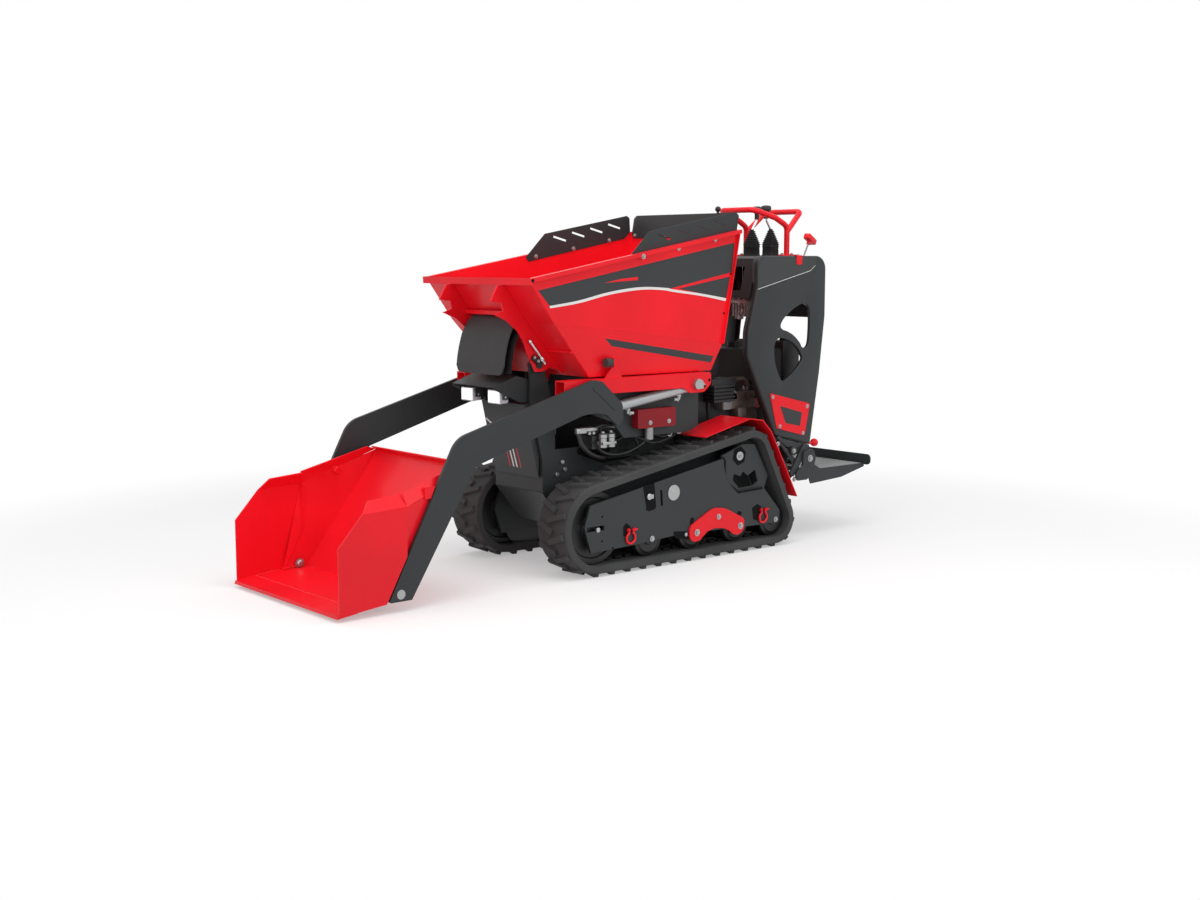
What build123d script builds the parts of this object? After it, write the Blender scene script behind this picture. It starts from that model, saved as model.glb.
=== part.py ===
from build123d import *
import math
import os

# Tracked site dumper: self-loading bucket in front, forward tipping hopper, rear control column.
# Millimetres. +X to the bucket, +Y to the machine's left, +Z up. The ground is z = 0.

# ---- tracks and undercarriage ----
TRACK_OUTER_Y = 390
TRACK_WIDTH = 179
BELT, BELT_SHOULDER = 31, 8
LUG_HEIGHT, LUG_LENGTH, LUG_TAPER = 13, 28, 4
LUG_WIDTH, LUG_INSET, LUG_SLANT = 96, 10, 18
LUG_PITCH = 86
IDLER_X, IDLER_R = 260, 151
SPROCKET_X, SPROCKET_Z, SPROCKET_R = -610, 413, 86
ROLLER_R = 75
ROLLER_XS = (-31, -281, -543, -771)
WHEEL_GAP = 14
FRAME_PLATE = 12
FRAME_PLATE_SET = 17
AXLE_R = 14
ROCKER_PLATE = 7
FENDER_SHEET = 4
FENDER_GAP = 24
FENDER_INNER_Y = 206

# ---- main frame, rails and front ----
TUB_HALF = 160
TUB_WALL = 8
TUB_FLOOR = 172
TUB_TOP = 500
TUB_REAR, TUB_FRONT = -850, 375
BEAM_XS = (-150, -420)
RAIL_OUTER_Y, RAIL_WIDTH = 366, 60
RAIL_SHEET = 5
RAIL_TOP, RAIL_HEIGHT = 795, 60
RAIL_BOTTOM = RAIL_TOP - RAIL_HEIGHT
RAIL_REAR, RAIL_FRONT = -371, 424
SIDE_PLATE_Y, SIDE_PLATE = 288, 12
VALVE_COVER_X, VALVE_COVER_Z = (-192, 19), (578, 656)
VALVE_COVER_Y, VALVE_COVER_SHEET = 340, 3
TOWER_PLATE = 12
HOOD_GAP, HOOD_SHEET = 2, 4
HOOD_HALF = TUB_HALF - TOWER_PLATE - HOOD_GAP
HOOD_FOOT, HOOD_BROW = (385, 386), (455, 690)
LAMP_WIDTH, LAMP_HEIGHT, LAMP_DEPTH = 90, 56, 46
LAMP_SIDE_GAP = 9
LAMP_X, LAMP_Y, LAMP_Z = 545, HOOD_HALF - LAMP_SIDE_GAP - LAMP_WIDTH / 2, 725
LAMP_PIN_R = 4
PIVOT_CLEARANCE = 0.05
BUFFER_X, BUFFER_Y, BUFFER_Z, BUFFER_R = 177, 355, 858, 18
MOVING_GAP = 6
SEAT = 0.3

# ---- loader ----
ARM_PIVOT = (260, RAIL_BOTTOM + 13)
ARM_PLATE, ARM_OUTER_Y = 14, 390
ARM_PIN_R = 20
CUT_EDGE_X, CUT_EDGE_Z = 1470, 14
BUCKET_HALF = 390
BUCKET_SHEET = 5
BUCKET_SEAM = (1172, 50)
BUCKET_BACK = (845, 497)
BUCKET_BACK_HALF = 343
BUCKET_PINS = ((1204, 66), (1024, 424))
BUCKET_PIN_R = 11
LIFT_BASE, LIFT_EYE = (-282, RAIL_BOTTOM + 1), (165, ARM_PIVOT[1] - 76)
LIFT_BARREL_R, LIFT_ROD_R = 21, 12
LIFT_EYE_R, LIFT_EYE_HALF = 19, 16

# ---- hopper ----
HOPPER_PIVOT = (405, 850)
HOPPER_HALF, HOPPER_RIM = 345, 21
HOPPER_RIM_Y = HOPPER_HALF + HOPPER_RIM
HOPPER_SHEET = 4
HOPPER_LIP = (587, 1195)
HOPPER_REAR_TOP = (-548, 1393)
HOPPER_REAR_CREASE = (-454, 911)
HOPPER_FRONT_CREASE = (460, 1020)
HOPPER_FLOOR_REAR, HOPPER_FLOOR_FRONT = (-402, 800), (265, 803)
SHELF_Z, SHELF_DEPTH = 902, 12
LOWER_SIDE_LEAN = 0.12
RIB_GAP, RIB_PLATE = 11, 8
RIB_INNER_Y = TUB_HALF + RIB_GAP
HOPPER_PIN_R = 15
APRON_HALF = RIB_INNER_Y - 19
TIP_BASE, TIP_EYE = (280, 380), (270, 755)
TIP_BARREL_R, TIP_ROD_R = 30, 16
PANEL_SHEET, PANEL_GAP, PANEL_CUT = 3, 8, 16

# ---- column and platform ----
COLUMN_HALF, COLUMN_SHEET = 285, 4
COLUMN_TOP = 1283
COLUMN_FLANGE = 34
PLATFORM_PIVOT = (-1074, 361)
PLATFORM_PLATE = 6
PLATFORM_REAR = -1470
PLATFORM_DECK_Z = 300
LIP_HALF = 330
LEVER_X, LEVER_Y, LEVER_LEAN = -1044, 60, 32
BOOT_HALF, BOOT_COLLAR, BOOT_TOP = 30, 50, 1400
KNOB_Z, KNOB_R, KNOB_LENGTH = 1500, 23, 30
TUBE_R = 13

TRACK_INNER_Y = TRACK_OUTER_Y - TRACK_WIDTH
TRACK_MID_Y = TRACK_OUTER_Y - TRACK_WIDTH / 2
GROUND_Z = LUG_HEIGHT + BELT
IDLER = (IDLER_X, GROUND_Z + IDLER_R, IDLER_R)
ROLLER_Z = GROUND_Z + ROLLER_R
SPROCKET = (SPROCKET_X, SPROCKET_Z, SPROCKET_R)
LOOP = (IDLER, SPROCKET, (ROLLER_XS[-1], ROLLER_Z, ROLLER_R))
FRAME_OUTER_Y = TRACK_OUTER_Y - FRAME_PLATE_SET
FRAME_INNER_Y = TRACK_INNER_Y + FRAME_PLATE_SET
ARM_INNER_Y = ARM_OUTER_Y - ARM_PLATE
RAIL_INNER_Y = RAIL_OUTER_Y - RAIL_WIDTH
RAIL_MID_Y = RAIL_OUTER_Y - RAIL_WIDTH / 2


# ---- shaping helpers ----
def plate(outline, y_low, y_high, radii=None):
    """A plate cut to an XZ outline, standing between two Y values."""
    if radii is None:
        edge = Polyline(*outline, close=True)
    else:
        edge = FilletPolyline(*outline, radius=radii, close=True)
    return extrude(Plane.XZ.offset(-y_high) * make_face(edge), y_high - y_low)


def bar(x, z, radius, y_low, y_high):
    """A round bar along Y."""
    disc = Plane.XZ.offset(-y_high) * Pos(x, z) * Circle(radius)
    return extrude(disc, y_high - y_low)


def block(x_low, x_high, y_low, y_high, z_low, z_high):
    size = (x_high - x_low, y_high - y_low, z_high - z_low)
    middle = ((x_low + x_high) / 2, (y_low + y_high) / 2, (z_low + z_high) / 2)
    return Pos(*middle) * Box(*size)


def sheet(corners, thickness):
    """A flat sheet on a polygon of 3-D corners, half its thickness to each side."""
    first, second, third = (Vector(*c) for c in corners[:3])
    normal = (second - first).cross(third - first)
    plane = Plane(origin=first, x_dir=second - first, z_dir=normal)
    flat = [plane.to_local_coords(Vector(*c)) for c in corners]
    face = make_face(Polyline(*[(p.X, p.Y) for p in flat], close=True))
    return extrude(plane * face, thickness / 2, both=True)


def both_sides(solid):
    return solid + mirror(solid, about=Plane.XZ)


def rod_between(start, end, radius, y):
    """A round rod in an XZ plane at one Y."""
    run = Vector(end[0] - start[0], 0, end[1] - start[1])
    plane = Plane(origin=(start[0], y, start[1]), z_dir=run)
    return extrude(plane * Circle(radius), run.length)


def tube_path(points, radius, bend):
    """A bent round bar through 3-D points with tangent bends."""
    path = FilletPolyline(*points, radius=bend)
    return sweep(Plane(origin=path @ 0, z_dir=path % 0) * Circle(radius), path=path)


def save(node, solid):
    os.makedirs("parts", exist_ok=True)
    solid.label = node
    export_step(solid, f"parts/{node}.step")


def save_pair(node, solid):
    save(f"{node}_left", solid)
    save(f"{node}_right", mirror(solid, about=Plane.XZ))


# ---- the loop that a track runs on: tangent lines round three wheels ----
def loop_pieces(offset):
    """Straight runs and arcs round the wheels, each radius grown by offset."""
    wheels = [(x, z, r + offset) for x, z, r in LOOP]
    normals = []
    for (x1, z1, r1), (x2, z2, r2) in zip(wheels, wheels[1:] + wheels[:1]):
        run = math.hypot(x2 - x1, z2 - z1)
        heading = math.atan2(z2 - z1, x2 - x1)
        normals.append(heading - math.pi / 2 + math.asin((r1 - r2) / run))
    pieces = []
    for i, (x, z, r) in enumerate(wheels):
        start, end = normals[i - 1], normals[i]
        while end < start:
            end += 2 * math.pi
        pieces.append(("arc", (x, z, r), start, end))
        nx, nz, nr = wheels[(i + 1) % len(wheels)]
        leave = (x + r * math.cos(end), z + r * math.sin(end))
        reach = (nx + nr * math.cos(end), nz + nr * math.sin(end))
        pieces.append(("line", leave, reach, end))
    return pieces


def loop_face(offset):
    edges = []
    for kind, a, b, c in loop_pieces(offset):
        if kind == "line":
            edges.append(Line(a, b))
        else:
            x, z, r = a
            spots = [(x + r * math.cos(t), z + r * math.sin(t)) for t in (b, (b + c) / 2, c)]
            edges.append(ThreePointArc(*spots))
    return make_face(edges)


def loop_spot(distance, offset):
    """Point and outward angle at a distance along the loop."""
    for kind, a, b, c in loop_pieces(offset):
        if kind == "line":
            length = math.dist(a, b)
            if distance <= length:
                share = distance / length
                return a[0] + (b[0] - a[0]) * share, a[1] + (b[1] - a[1]) * share, c
        else:
            length = a[2] * (c - b)
            if distance <= length:
                turn = b + distance / a[2]
                return a[0] + a[2] * math.cos(turn), a[1] + a[2] * math.sin(turn), turn
        distance -= length
    return loop_spot(0, offset)


def loop_length(offset):
    total = 0
    for kind, a, b, c in loop_pieces(offset):
        total += math.dist(a, b) if kind == "line" else a[2] * (c - b)
    return total


def make_track():
    """Rubber belt with rounded shoulders and two staggered rows of slanted bars."""
    belt = extrude(Plane.XZ.offset(-TRACK_OUTER_Y) * loop_face(BELT), TRACK_WIDTH)
    belt = fillet(belt.edges().filter_by(Axis.Y, reverse=True), BELT_SHOULDER)
    belt -= extrude(Plane.XZ.offset(-TRACK_OUTER_Y - 1) * loop_face(0), TRACK_WIDTH + 2)
    length = loop_length(BELT)
    count = round(length / LUG_PITCH)
    foot, crown, bury = LUG_LENGTH / 2, LUG_LENGTH / 2 - LUG_TAPER, 4
    section = [(-foot, -bury), (foot, -bury), (crown, LUG_HEIGHT), (-crown, LUG_HEIGHT)]
    lug = plate(section, -LUG_WIDTH / 2, LUG_WIDTH / 2)
    shift = TRACK_WIDTH / 2 - LUG_INSET - LUG_WIDTH / 2
    lugs = []
    for half, side in enumerate((1, -1)):
        for i in range(count):
            x, z, turn = loop_spot((i + half / 2) * length / count, BELT)
            place = Pos(x, TRACK_MID_Y + side * shift, z) * Rot(0, 90 - math.degrees(turn), 0)
            lugs.append(place * Rot(0, 0, side * LUG_SLANT) * lug)
    squashed = block(SPROCKET_X * 2, IDLER_X * 2, TRACK_INNER_Y, TRACK_OUTER_Y, -LUG_HEIGHT, 0)
    return belt + lugs - squashed


def wheel(x, z, radius):
    """A flanged wheel on a fixed axle between the two frame plates."""
    body = bar(x, z, radius, TRACK_INNER_Y + 44, TRACK_OUTER_Y - 46)
    return body + bar(x, z, AXLE_R, FRAME_INNER_Y + FRAME_PLATE, FRAME_OUTER_Y - FRAME_PLATE)


def make_sprocket():
    y_low, y_high = TRACK_INNER_Y + 60, TRACK_OUTER_Y - 62
    disc = bar(SPROCKET_X, SPROCKET_Z, SPROCKET_R - 12, y_low, y_high)
    tooth = Pos(SPROCKET_X, TRACK_MID_Y - 1, SPROCKET_Z) * Pos(0, 0, SPROCKET_R - 12)
    teeth = []
    for i in range(9):
        turn = Pos(SPROCKET_X, 0, SPROCKET_Z) * Rot(0, 40 * i, 0) * Pos(-SPROCKET_X, 0, -SPROCKET_Z)
        teeth.append(turn * tooth * Box(22, y_high - y_low, 20))
    return disc + teeth + bar(SPROCKET_X, SPROCKET_Z, 52, FRAME_INNER_Y + FRAME_PLATE, y_high)


def make_undercarriage():
    """Outer and inner frame plate of one track, the drive's bracket plate and spacers."""
    outer_low = FRAME_OUTER_Y - FRAME_PLATE
    outline = [(331, 206), (301, 293), (-440, 419), (-461, 334), (-528, 270), (-690, 274),
               (-799, 158), (-792, 106), (-665, 106), (-194, 120), (57, 106), (297, 99)]
    outer = plate(outline, outer_low, FRAME_OUTER_Y)
    outer -= plate([(-32, 242), (2, 242), (-4, 352), (-44, 352)], outer_low - 1, FRAME_OUTER_Y + 1)
    outer -= plate([(-92, 252), (-80, 252), (-76, 318), (-88, 318)], outer_low - 1, FRAME_OUTER_Y + 1)
    outer -= plate([(228, 186), (318, 186), (318, 206), (228, 206)], outer_low - 1, FRAME_OUTER_Y + 1)
    drive = [(-444, 430), (-444, 290), (-500, 240), (-700, 244), (-732, 320), (-680, 408), (-645, 466),
             (-570, 470)]
    bracket = plate(drive, outer_low - FRAME_PLATE, outer_low)
    window = [(-520, 345), (-560, 330), (-575, 350), (-605, 330), (-650, 352), (-668, 300),
              (-640, 282), (-550, 280), (-512, 318)]
    bracket -= plate(window, outer_low - FRAME_PLATE - 1, outer_low + 1)
    inner = plate([(331, 206), (301, 293), (-560, 450), (-662, 440), (-799, 158), (-792, 106),
                   (297, 99)], FRAME_INNER_Y, FRAME_INNER_Y + FRAME_PLATE)
    spacers = [bar(x, z, 20, FRAME_INNER_Y, outer_low) for x, z in ((-156, 250), (-412, 270), (-655, 240))]
    return outer + bracket + inner + spacers


def make_rocker():
    """Red rocker plate over the two middle rollers: three round ends joined, arched below."""
    y_low, y_high = FRAME_OUTER_Y, FRAME_OUTER_Y + ROCKER_PLATE
    front, rear = ROLLER_XS[1], ROLLER_XS[2]
    middle = (front + rear) / 2
    crown = ROLLER_Z + 68
    end_r = 40
    body = plate([(front + 30, ROLLER_Z + 26), (middle + 42, crown + 40), (middle - 42, crown + 40),
                  (rear - 30, ROLLER_Z + 26), (rear, ROLLER_Z), (front, ROLLER_Z)], y_low, y_high)
    body += bar(front, ROLLER_Z, end_r, y_low, y_high)
    body += bar(rear, ROLLER_Z, end_r, y_low, y_high)
    return body - bar(middle, ROLLER_Z - 34, 96, y_low - 1, y_high + 1)


def make_fender():
    line = [(-322, 524), (-590, 584), (-668, 572), (-722, 519), (-806, 372), (-894, 215)]
    top = [(x, z) for x, z in line]
    low = [(x + FENDER_SHEET * 0.6, z - FENDER_SHEET) for x, z in reversed(line)]
    sheet_part = plate(top + low, FENDER_INNER_Y, TRACK_OUTER_Y)
    web = plate([(-560, 577), (-655, 574), (-714, 519), (-700, 440), (-560, 440)],
                FENDER_INNER_Y - 6, FENDER_INNER_Y)
    tab = block(-690, -600, TUB_HALF, FENDER_INNER_Y, 442, 450)
    return sheet_part + web + tab


save_pair("track", make_track())
save_pair("undercarriage", make_undercarriage())
wheels = [wheel(x, ROLLER_Z, ROLLER_R) for x in ROLLER_XS] + [wheel(*IDLER)]
save_pair("rollers", Compound(children=wheels))
save_pair("drive_sprocket", make_sprocket())
save_pair("rocker_plate", make_rocker())
save_pair("fender", make_fender())


# ---- main frame: welded tub between the tracks, axle beams, hopper towers, rear plates ----
def make_main_frame():
    shell = block(TUB_REAR, TUB_FRONT, -TUB_HALF, TUB_HALF, TUB_FLOOR, TUB_TOP)
    shell -= block(TUB_REAR + TUB_WALL, TUB_FRONT - TUB_WALL, -TUB_HALF + TUB_WALL, TUB_HALF - TUB_WALL,
                   TUB_FLOOR + TUB_WALL, TUB_TOP + 1)
    nose_cut = plate([(TUB_FRONT + 1, TUB_FLOOR - 1), (TUB_FRONT + 1, 330), (250, TUB_FLOOR - 1)],
                     -TUB_HALF - 1, TUB_HALF + 1)
    shell -= nose_cut
    chin = sheet([(TUB_FRONT, -TUB_HALF, 330), (TUB_FRONT, TUB_HALF, 330),
                  (250, TUB_HALF, TUB_FLOOR + 4), (250, -TUB_HALF, TUB_FLOOR + 4)], TUB_WALL)
    parts = [chin]
    for x in BEAM_XS:
        parts.append(block(x - 45, x + 45, -FRAME_INNER_Y, FRAME_INNER_Y, 206, 276))
    tower = [(HOPPER_PIVOT[0] - 95, TUB_TOP - 60), (TUB_FRONT - 4, TUB_TOP - 60), (HOPPER_PIVOT[0] + 30, 700),
             (HOPPER_PIVOT[0] + 30, HOPPER_PIVOT[1] + 30), (HOPPER_PIVOT[0] - 30, HOPPER_PIVOT[1] + 30),
             (HOPPER_PIVOT[0] - 95, 640)]
    tower_plate = plate(tower, TUB_HALF - TOWER_PLATE, TUB_HALF, [1, 30, 60, 29, 29, 60])
    pin = bar(*HOPPER_PIVOT, HOPPER_PIN_R, TUB_HALF - TOWER_PLATE, RIB_INNER_Y + RIB_PLATE + 6)
    parts += [both_sides(tower_plate + pin)]
    tip_lugs = both_sides(plate([(TIP_BASE[0] - 40, 300), (TIP_BASE[0] + 40, 300), (TIP_BASE[0] + 26, 410),
                                 (TIP_BASE[0] - 26, 410)], 36, 46))
    parts += [tip_lugs, bar(*TIP_BASE, 14, -46, 46), block(236, 324, -TUB_HALF, TUB_HALF, 292, 302)]
    return shell + parts


save("main_frame", make_main_frame())


def make_outriggers():
    """Side plates and posts that carry the red rails outside the tub."""
    web = plate([(-360, 560), (-300, 540), (60, 540), (120, 610), (350, 690), (350, RAIL_TOP),
                 (-360, RAIL_TOP)], SIDE_PLATE_Y, SIDE_PLATE_Y + SIDE_PLATE)
    ties = block(-340, -250, TUB_HALF, SIDE_PLATE_Y, 560, 575) + block(-40, 50, TUB_HALF, SIDE_PLATE_Y, 560, 575)
    post = block(-340, 50, TUB_HALF, TUB_HALF + 8, 440, 575)
    return web + ties + post


def make_rail():
    """Inverted channel, boxed at its front end, with a round rear ear for the cylinder pin."""
    body = block(RAIL_REAR + 20, RAIL_FRONT, RAIL_INNER_Y, RAIL_OUTER_Y, RAIL_BOTTOM, RAIL_TOP)
    hollow = block(RAIL_REAR - 1, 330, RAIL_INNER_Y + RAIL_SHEET, RAIL_OUTER_Y - RAIL_SHEET,
                   RAIL_BOTTOM - 1, RAIL_TOP - RAIL_SHEET)
    hollow += block(329, RAIL_FRONT + 1, RAIL_INNER_Y + RAIL_SHEET, RAIL_OUTER_Y - RAIL_SHEET,
                    RAIL_BOTTOM + RAIL_SHEET, RAIL_TOP - RAIL_SHEET)
    body -= hollow
    ear = [(-190, RAIL_BOTTOM + 10), (-250, LIFT_BASE[1] - 24), (-330, LIFT_BASE[1] - 24),
           (RAIL_REAR, RAIL_BOTTOM + 10), (RAIL_REAR, RAIL_TOP), (-190, RAIL_TOP)]
    cheeks = plate(ear, RAIL_OUTER_Y - RAIL_SHEET, RAIL_OUTER_Y, [10, 30, 30, 20, 12, 1])
    cheeks += plate(ear, RAIL_INNER_Y, RAIL_INNER_Y + RAIL_SHEET, [10, 30, 30, 20, 12, 1])
    pin = bar(*LIFT_BASE, 12, RAIL_INNER_Y - 6, RAIL_OUTER_Y + 4)
    arm_pin = bar(*ARM_PIVOT, ARM_PIN_R, RAIL_INNER_Y, ARM_OUTER_Y - 5)
    stop = plate([(120, RAIL_TOP), (212, RAIL_TOP), (BUFFER_X, 838), (BUFFER_X, 882), (160, 882)],
                 BUFFER_Y - 3, BUFFER_Y + 3)
    stop += block(BUFFER_X - 6, BUFFER_X, BUFFER_Y - BUFFER_R, BUFFER_Y + BUFFER_R, 838, 878)
    return body + [cheeks, pin, arm_pin, stop]


def make_arm_buffer():
    return Pos(BUFFER_X, BUFFER_Y, BUFFER_Z) * Rot(0, 90, 0) * Cylinder(
        BUFFER_R, 30, align=(Align.CENTER, Align.CENTER, Align.MIN))


def make_valve_cover():
    """Folded cover over the hose couplings, open at its back, on the left side plate."""
    low, high = (VALVE_COVER_X[0], VALVE_COVER_Z[0]), (VALVE_COVER_X[1], VALVE_COVER_Z[1])
    back = SIDE_PLATE_Y + SIDE_PLATE + SEAT
    outline = [low, (high[0], low[1]), high, (low[0], high[1])]
    cover = plate(outline, back, VALVE_COVER_Y, [9, 9, 2, 2])
    wall = VALVE_COVER_SHEET
    return cover - block(low[0] + wall, high[0] - wall, back - 1, VALVE_COVER_Y - wall, low[1] + wall, high[1] - wall)


def make_oil_filter():
    """Spin-on filter hanging under the cover."""
    x, y, top = -57, (SIDE_PLATE_Y + SIDE_PLATE + VALVE_COVER_Y) / 2 + 3, VALVE_COVER_Z[0] - SEAT
    can = Pos(x, y, top) * Cylinder(18, 52, align=(Align.CENTER, Align.CENTER, Align.MAX))
    can = fillet(can.faces().sort_by(Axis.Z)[0].edges(), 6)
    return can


def make_spool_valve():
    """Valve block on the tub's left side with a row of ports above and to the side."""
    side = TUB_HALF + SEAT
    valve = block(66, 186, side, 246, 498, 552)
    for i in range(4):
        x = 82 + 29 * i
        valve += Pos(x, 214, 552) * Cylinder(11, 26, align=(Align.CENTER, Align.CENTER, Align.MIN))
        valve += bar(x, 524, 9, 246, 268)
    return valve


save_pair("outrigger", make_outriggers())
save("valve_cover", make_valve_cover())
save("oil_filter", make_oil_filter())
save("spool_valve", make_spool_valve())
save_pair("side_rail", make_rail())
save_pair("arm_buffer", make_arm_buffer())


# ---- hood, lamp bracket, lamps ----
def make_hood():
    (foot_x, foot_z), (brow_x, brow_z) = HOOD_FOOT, HOOD_BROW
    outline = [(foot_x, foot_z), (brow_x, brow_z), (HOPPER_PIVOT[0] + 36, brow_z + 6), (310, 640), (310, 505), (379, 500)]
    solid = plate(outline, -HOOD_HALF, HOOD_HALF)
    inner = [(foot_x - 3, foot_z - 6), (brow_x - 5, brow_z - 5), (HOPPER_PIVOT[0] + 34, brow_z - 1),
             (300, 640), (300, 480), (340, 380)]
    return solid - plate(inner, -HOOD_HALF + HOOD_SHEET, HOOD_HALF - HOOD_SHEET)


def make_lamp_bracket():
    """Cover plate over the lamps with two side cheeks and a U bracket for each lamp."""
    y = HOOD_HALF
    top = sheet([(603, -y + 4, 766), (603, y - 4, 766), (487, y - 4, 806), (487, -y + 4, 806)], 4)
    cheek = plate([(487, 806), (600, 767), (600, 757), (470, 700), (400, 704), (400, 782)], y - 8, y - 4)
    for z in (722, 768):
        cheek += bar(412, z, 8, y - 4, TUB_HALF - TOWER_PLATE)
    brackets = []
    for y_side in (-1, 1):
        y_plate = LAMP_Y + y_side * (LAMP_WIDTH / 2 + 4)
        ear = block(LAMP_X - 14, LAMP_X + 14, y_plate - 2, y_plate + 2, LAMP_Z - 10, 784)
        brackets.append(ear - bar(LAMP_X, LAMP_Z, LAMP_PIN_R + PIVOT_CLEARANCE, y_plate - 3, y_plate + 3))
    return top + both_sides(cheek + brackets)


def make_lamp():
    y_low, y_high = LAMP_Y - LAMP_WIDTH / 2, LAMP_Y + LAMP_WIDTH / 2
    body = block(LAMP_X - LAMP_DEPTH / 2, LAMP_X + LAMP_DEPTH / 2 - 4, y_low, y_high,
                 LAMP_Z - LAMP_HEIGHT / 2, LAMP_Z + LAMP_HEIGHT / 2)
    face = block(LAMP_X + LAMP_DEPTH / 2 - 4, LAMP_X + LAMP_DEPTH / 2, y_low + 4, y_high - 4,
                 LAMP_Z - LAMP_HEIGHT / 2 + 4, LAMP_Z + LAMP_HEIGHT / 2 - 4)
    return body + face + bar(LAMP_X, LAMP_Z, LAMP_PIN_R, y_low - 6, y_high + 6)


save("hood", make_hood())
save("lamp_bracket", make_lamp_bracket())
save_pair("work_lamp", make_lamp())


# ---- loader arms and bucket ----
def make_arm():
    outline = [(1158, 40), (1256, 40), (952, 614), (300, 796), (252, 788), (146, 694), (140, 632),
               (166, 604), (232, 655), (285, 664), (347, 660), (868, 504)]
    rounds = [6, 6, 105, 22, 22, 30, 24, 10, 24, 24, 40, 60]
    arm = plate(outline, ARM_INNER_Y, ARM_OUTER_Y, rounds)
    arm += bar(*ARM_PIVOT, 34, ARM_INNER_Y - 7, ARM_INNER_Y)
    arm += bar(*LIFT_EYE, 22, RAIL_MID_Y + LIFT_EYE_HALF + MOVING_GAP, ARM_INNER_Y)
    arm -= bar(*ARM_PIVOT, ARM_PIN_R + PIVOT_CLEARANCE, ARM_INNER_Y - 8, ARM_OUTER_Y - 4)
    for x, z in BUCKET_PINS:
        arm += bar(x, z, BUCKET_PIN_R, 352, ARM_OUTER_Y)
    return arm


def narrow_side_y(x, z):
    """Half width of the bucket behind the arms: a plane from the wide front to the back plate."""
    return 138.2 + 0.18 * x + 0.1015 * z


def make_bucket():
    tip, seam, back = (CUT_EDGE_X, CUT_EDGE_Z), BUCKET_SEAM, BUCKET_BACK
    half = BUCKET_HALF - BUCKET_SHEET / 2
    t = BUCKET_SHEET
    blade = plate([tip, (1386, 24), (1386, 38), (CUT_EDGE_X - 4, CUT_EDGE_Z + 12)], -BUCKET_HALF, BUCKET_HALF)
    floor = plate([(1392, 28), (1266, 40.6), (1266, 40.6 + t), (1392, 34)], -half, half)
    foot_y, top_y = narrow_side_y(*seam), BUCKET_BACK_HALF
    neck_y = narrow_side_y(1270, 43) + t / 2
    floor += sheet([(1270, -neck_y, 42.7), (1270, neck_y, 42.7), (seam[0], foot_y, seam[1] + t / 2),
                    (seam[0], -foot_y, seam[1] + t / 2)], t)
    corner = (1172, 382)
    back_plate = sheet([(seam[0], -foot_y, seam[1] + 2), (seam[0], foot_y, seam[1] + 2),
                        (back[0], top_y, back[1]), (back[0], -top_y, back[1])], t)
    lip = sheet([(back[0], -top_y, back[1]), (back[0], top_y, back[1]), (872, top_y - 8, 511),
                 (872, -top_y + 8, 511)], t)
    front = plate([(1460, 26), (1460, 264), (1358, 376), corner, (1178, 203), (1268, 38), (1386, 26)],
                  half - t / 2, half + t / 2)
    low = (1268, 46)
    inside = sheet([(corner[0], narrow_side_y(*corner), corner[1]), (low[0], narrow_side_y(*low), low[1]),
                    (seam[0] + 2, narrow_side_y(seam[0] + 2, seam[1]), seam[1]),
                    (back[0] + 4, narrow_side_y(back[0] + 4, back[1]), back[1])], t)
    joggle = plate([(1170, 382), (1175, 202), (1265, 38), (1271, 38), (1181, 204), (1176, 382)],
                   narrow_side_y(1264, 38) - 4, BUCKET_HALF)
    flange = sheet([(1358, half, 374), (corner[0], half, corner[1]), (1181, 357, 428), (1322, 355, 413)], t)
    slope = sheet([(corner[0], half, corner[1]), (back[0] + 6, top_y, back[1] + 2), (892, 338, 512),
                   (1181, 357, 428)], t)
    ear = plate([(1066, 402), (1092, 402), (1092, 444), (1046, 446)], 374, 384)
    side = front + [inside, joggle, flange, slope, ear]
    shell = blade + [floor, back_plate, lip, side, mirror(side, about=Plane.XZ)]
    for x, z in BUCKET_PINS:
        shell -= both_sides(bar(x, z, BUCKET_PIN_R + SEAT, 340, BUCKET_HALF + 1))
    return shell


save_pair("loader_arm", make_arm())
save("bucket", make_bucket())


# ---- hopper ----
def lower_side_y(x, z):
    """Half width of the hopper's lower side sheet, leaning in below its crease."""
    (x1, z1), (x2, z2) = HOPPER_REAR_CREASE, HOPPER_FRONT_CREASE
    run = math.hypot(x2 - x1, z2 - z1)
    depth = ((x - x1) * (z2 - z1) - (z - z1) * (x2 - x1)) / run
    return HOPPER_HALF - LOWER_SIDE_LEAN * depth


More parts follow.
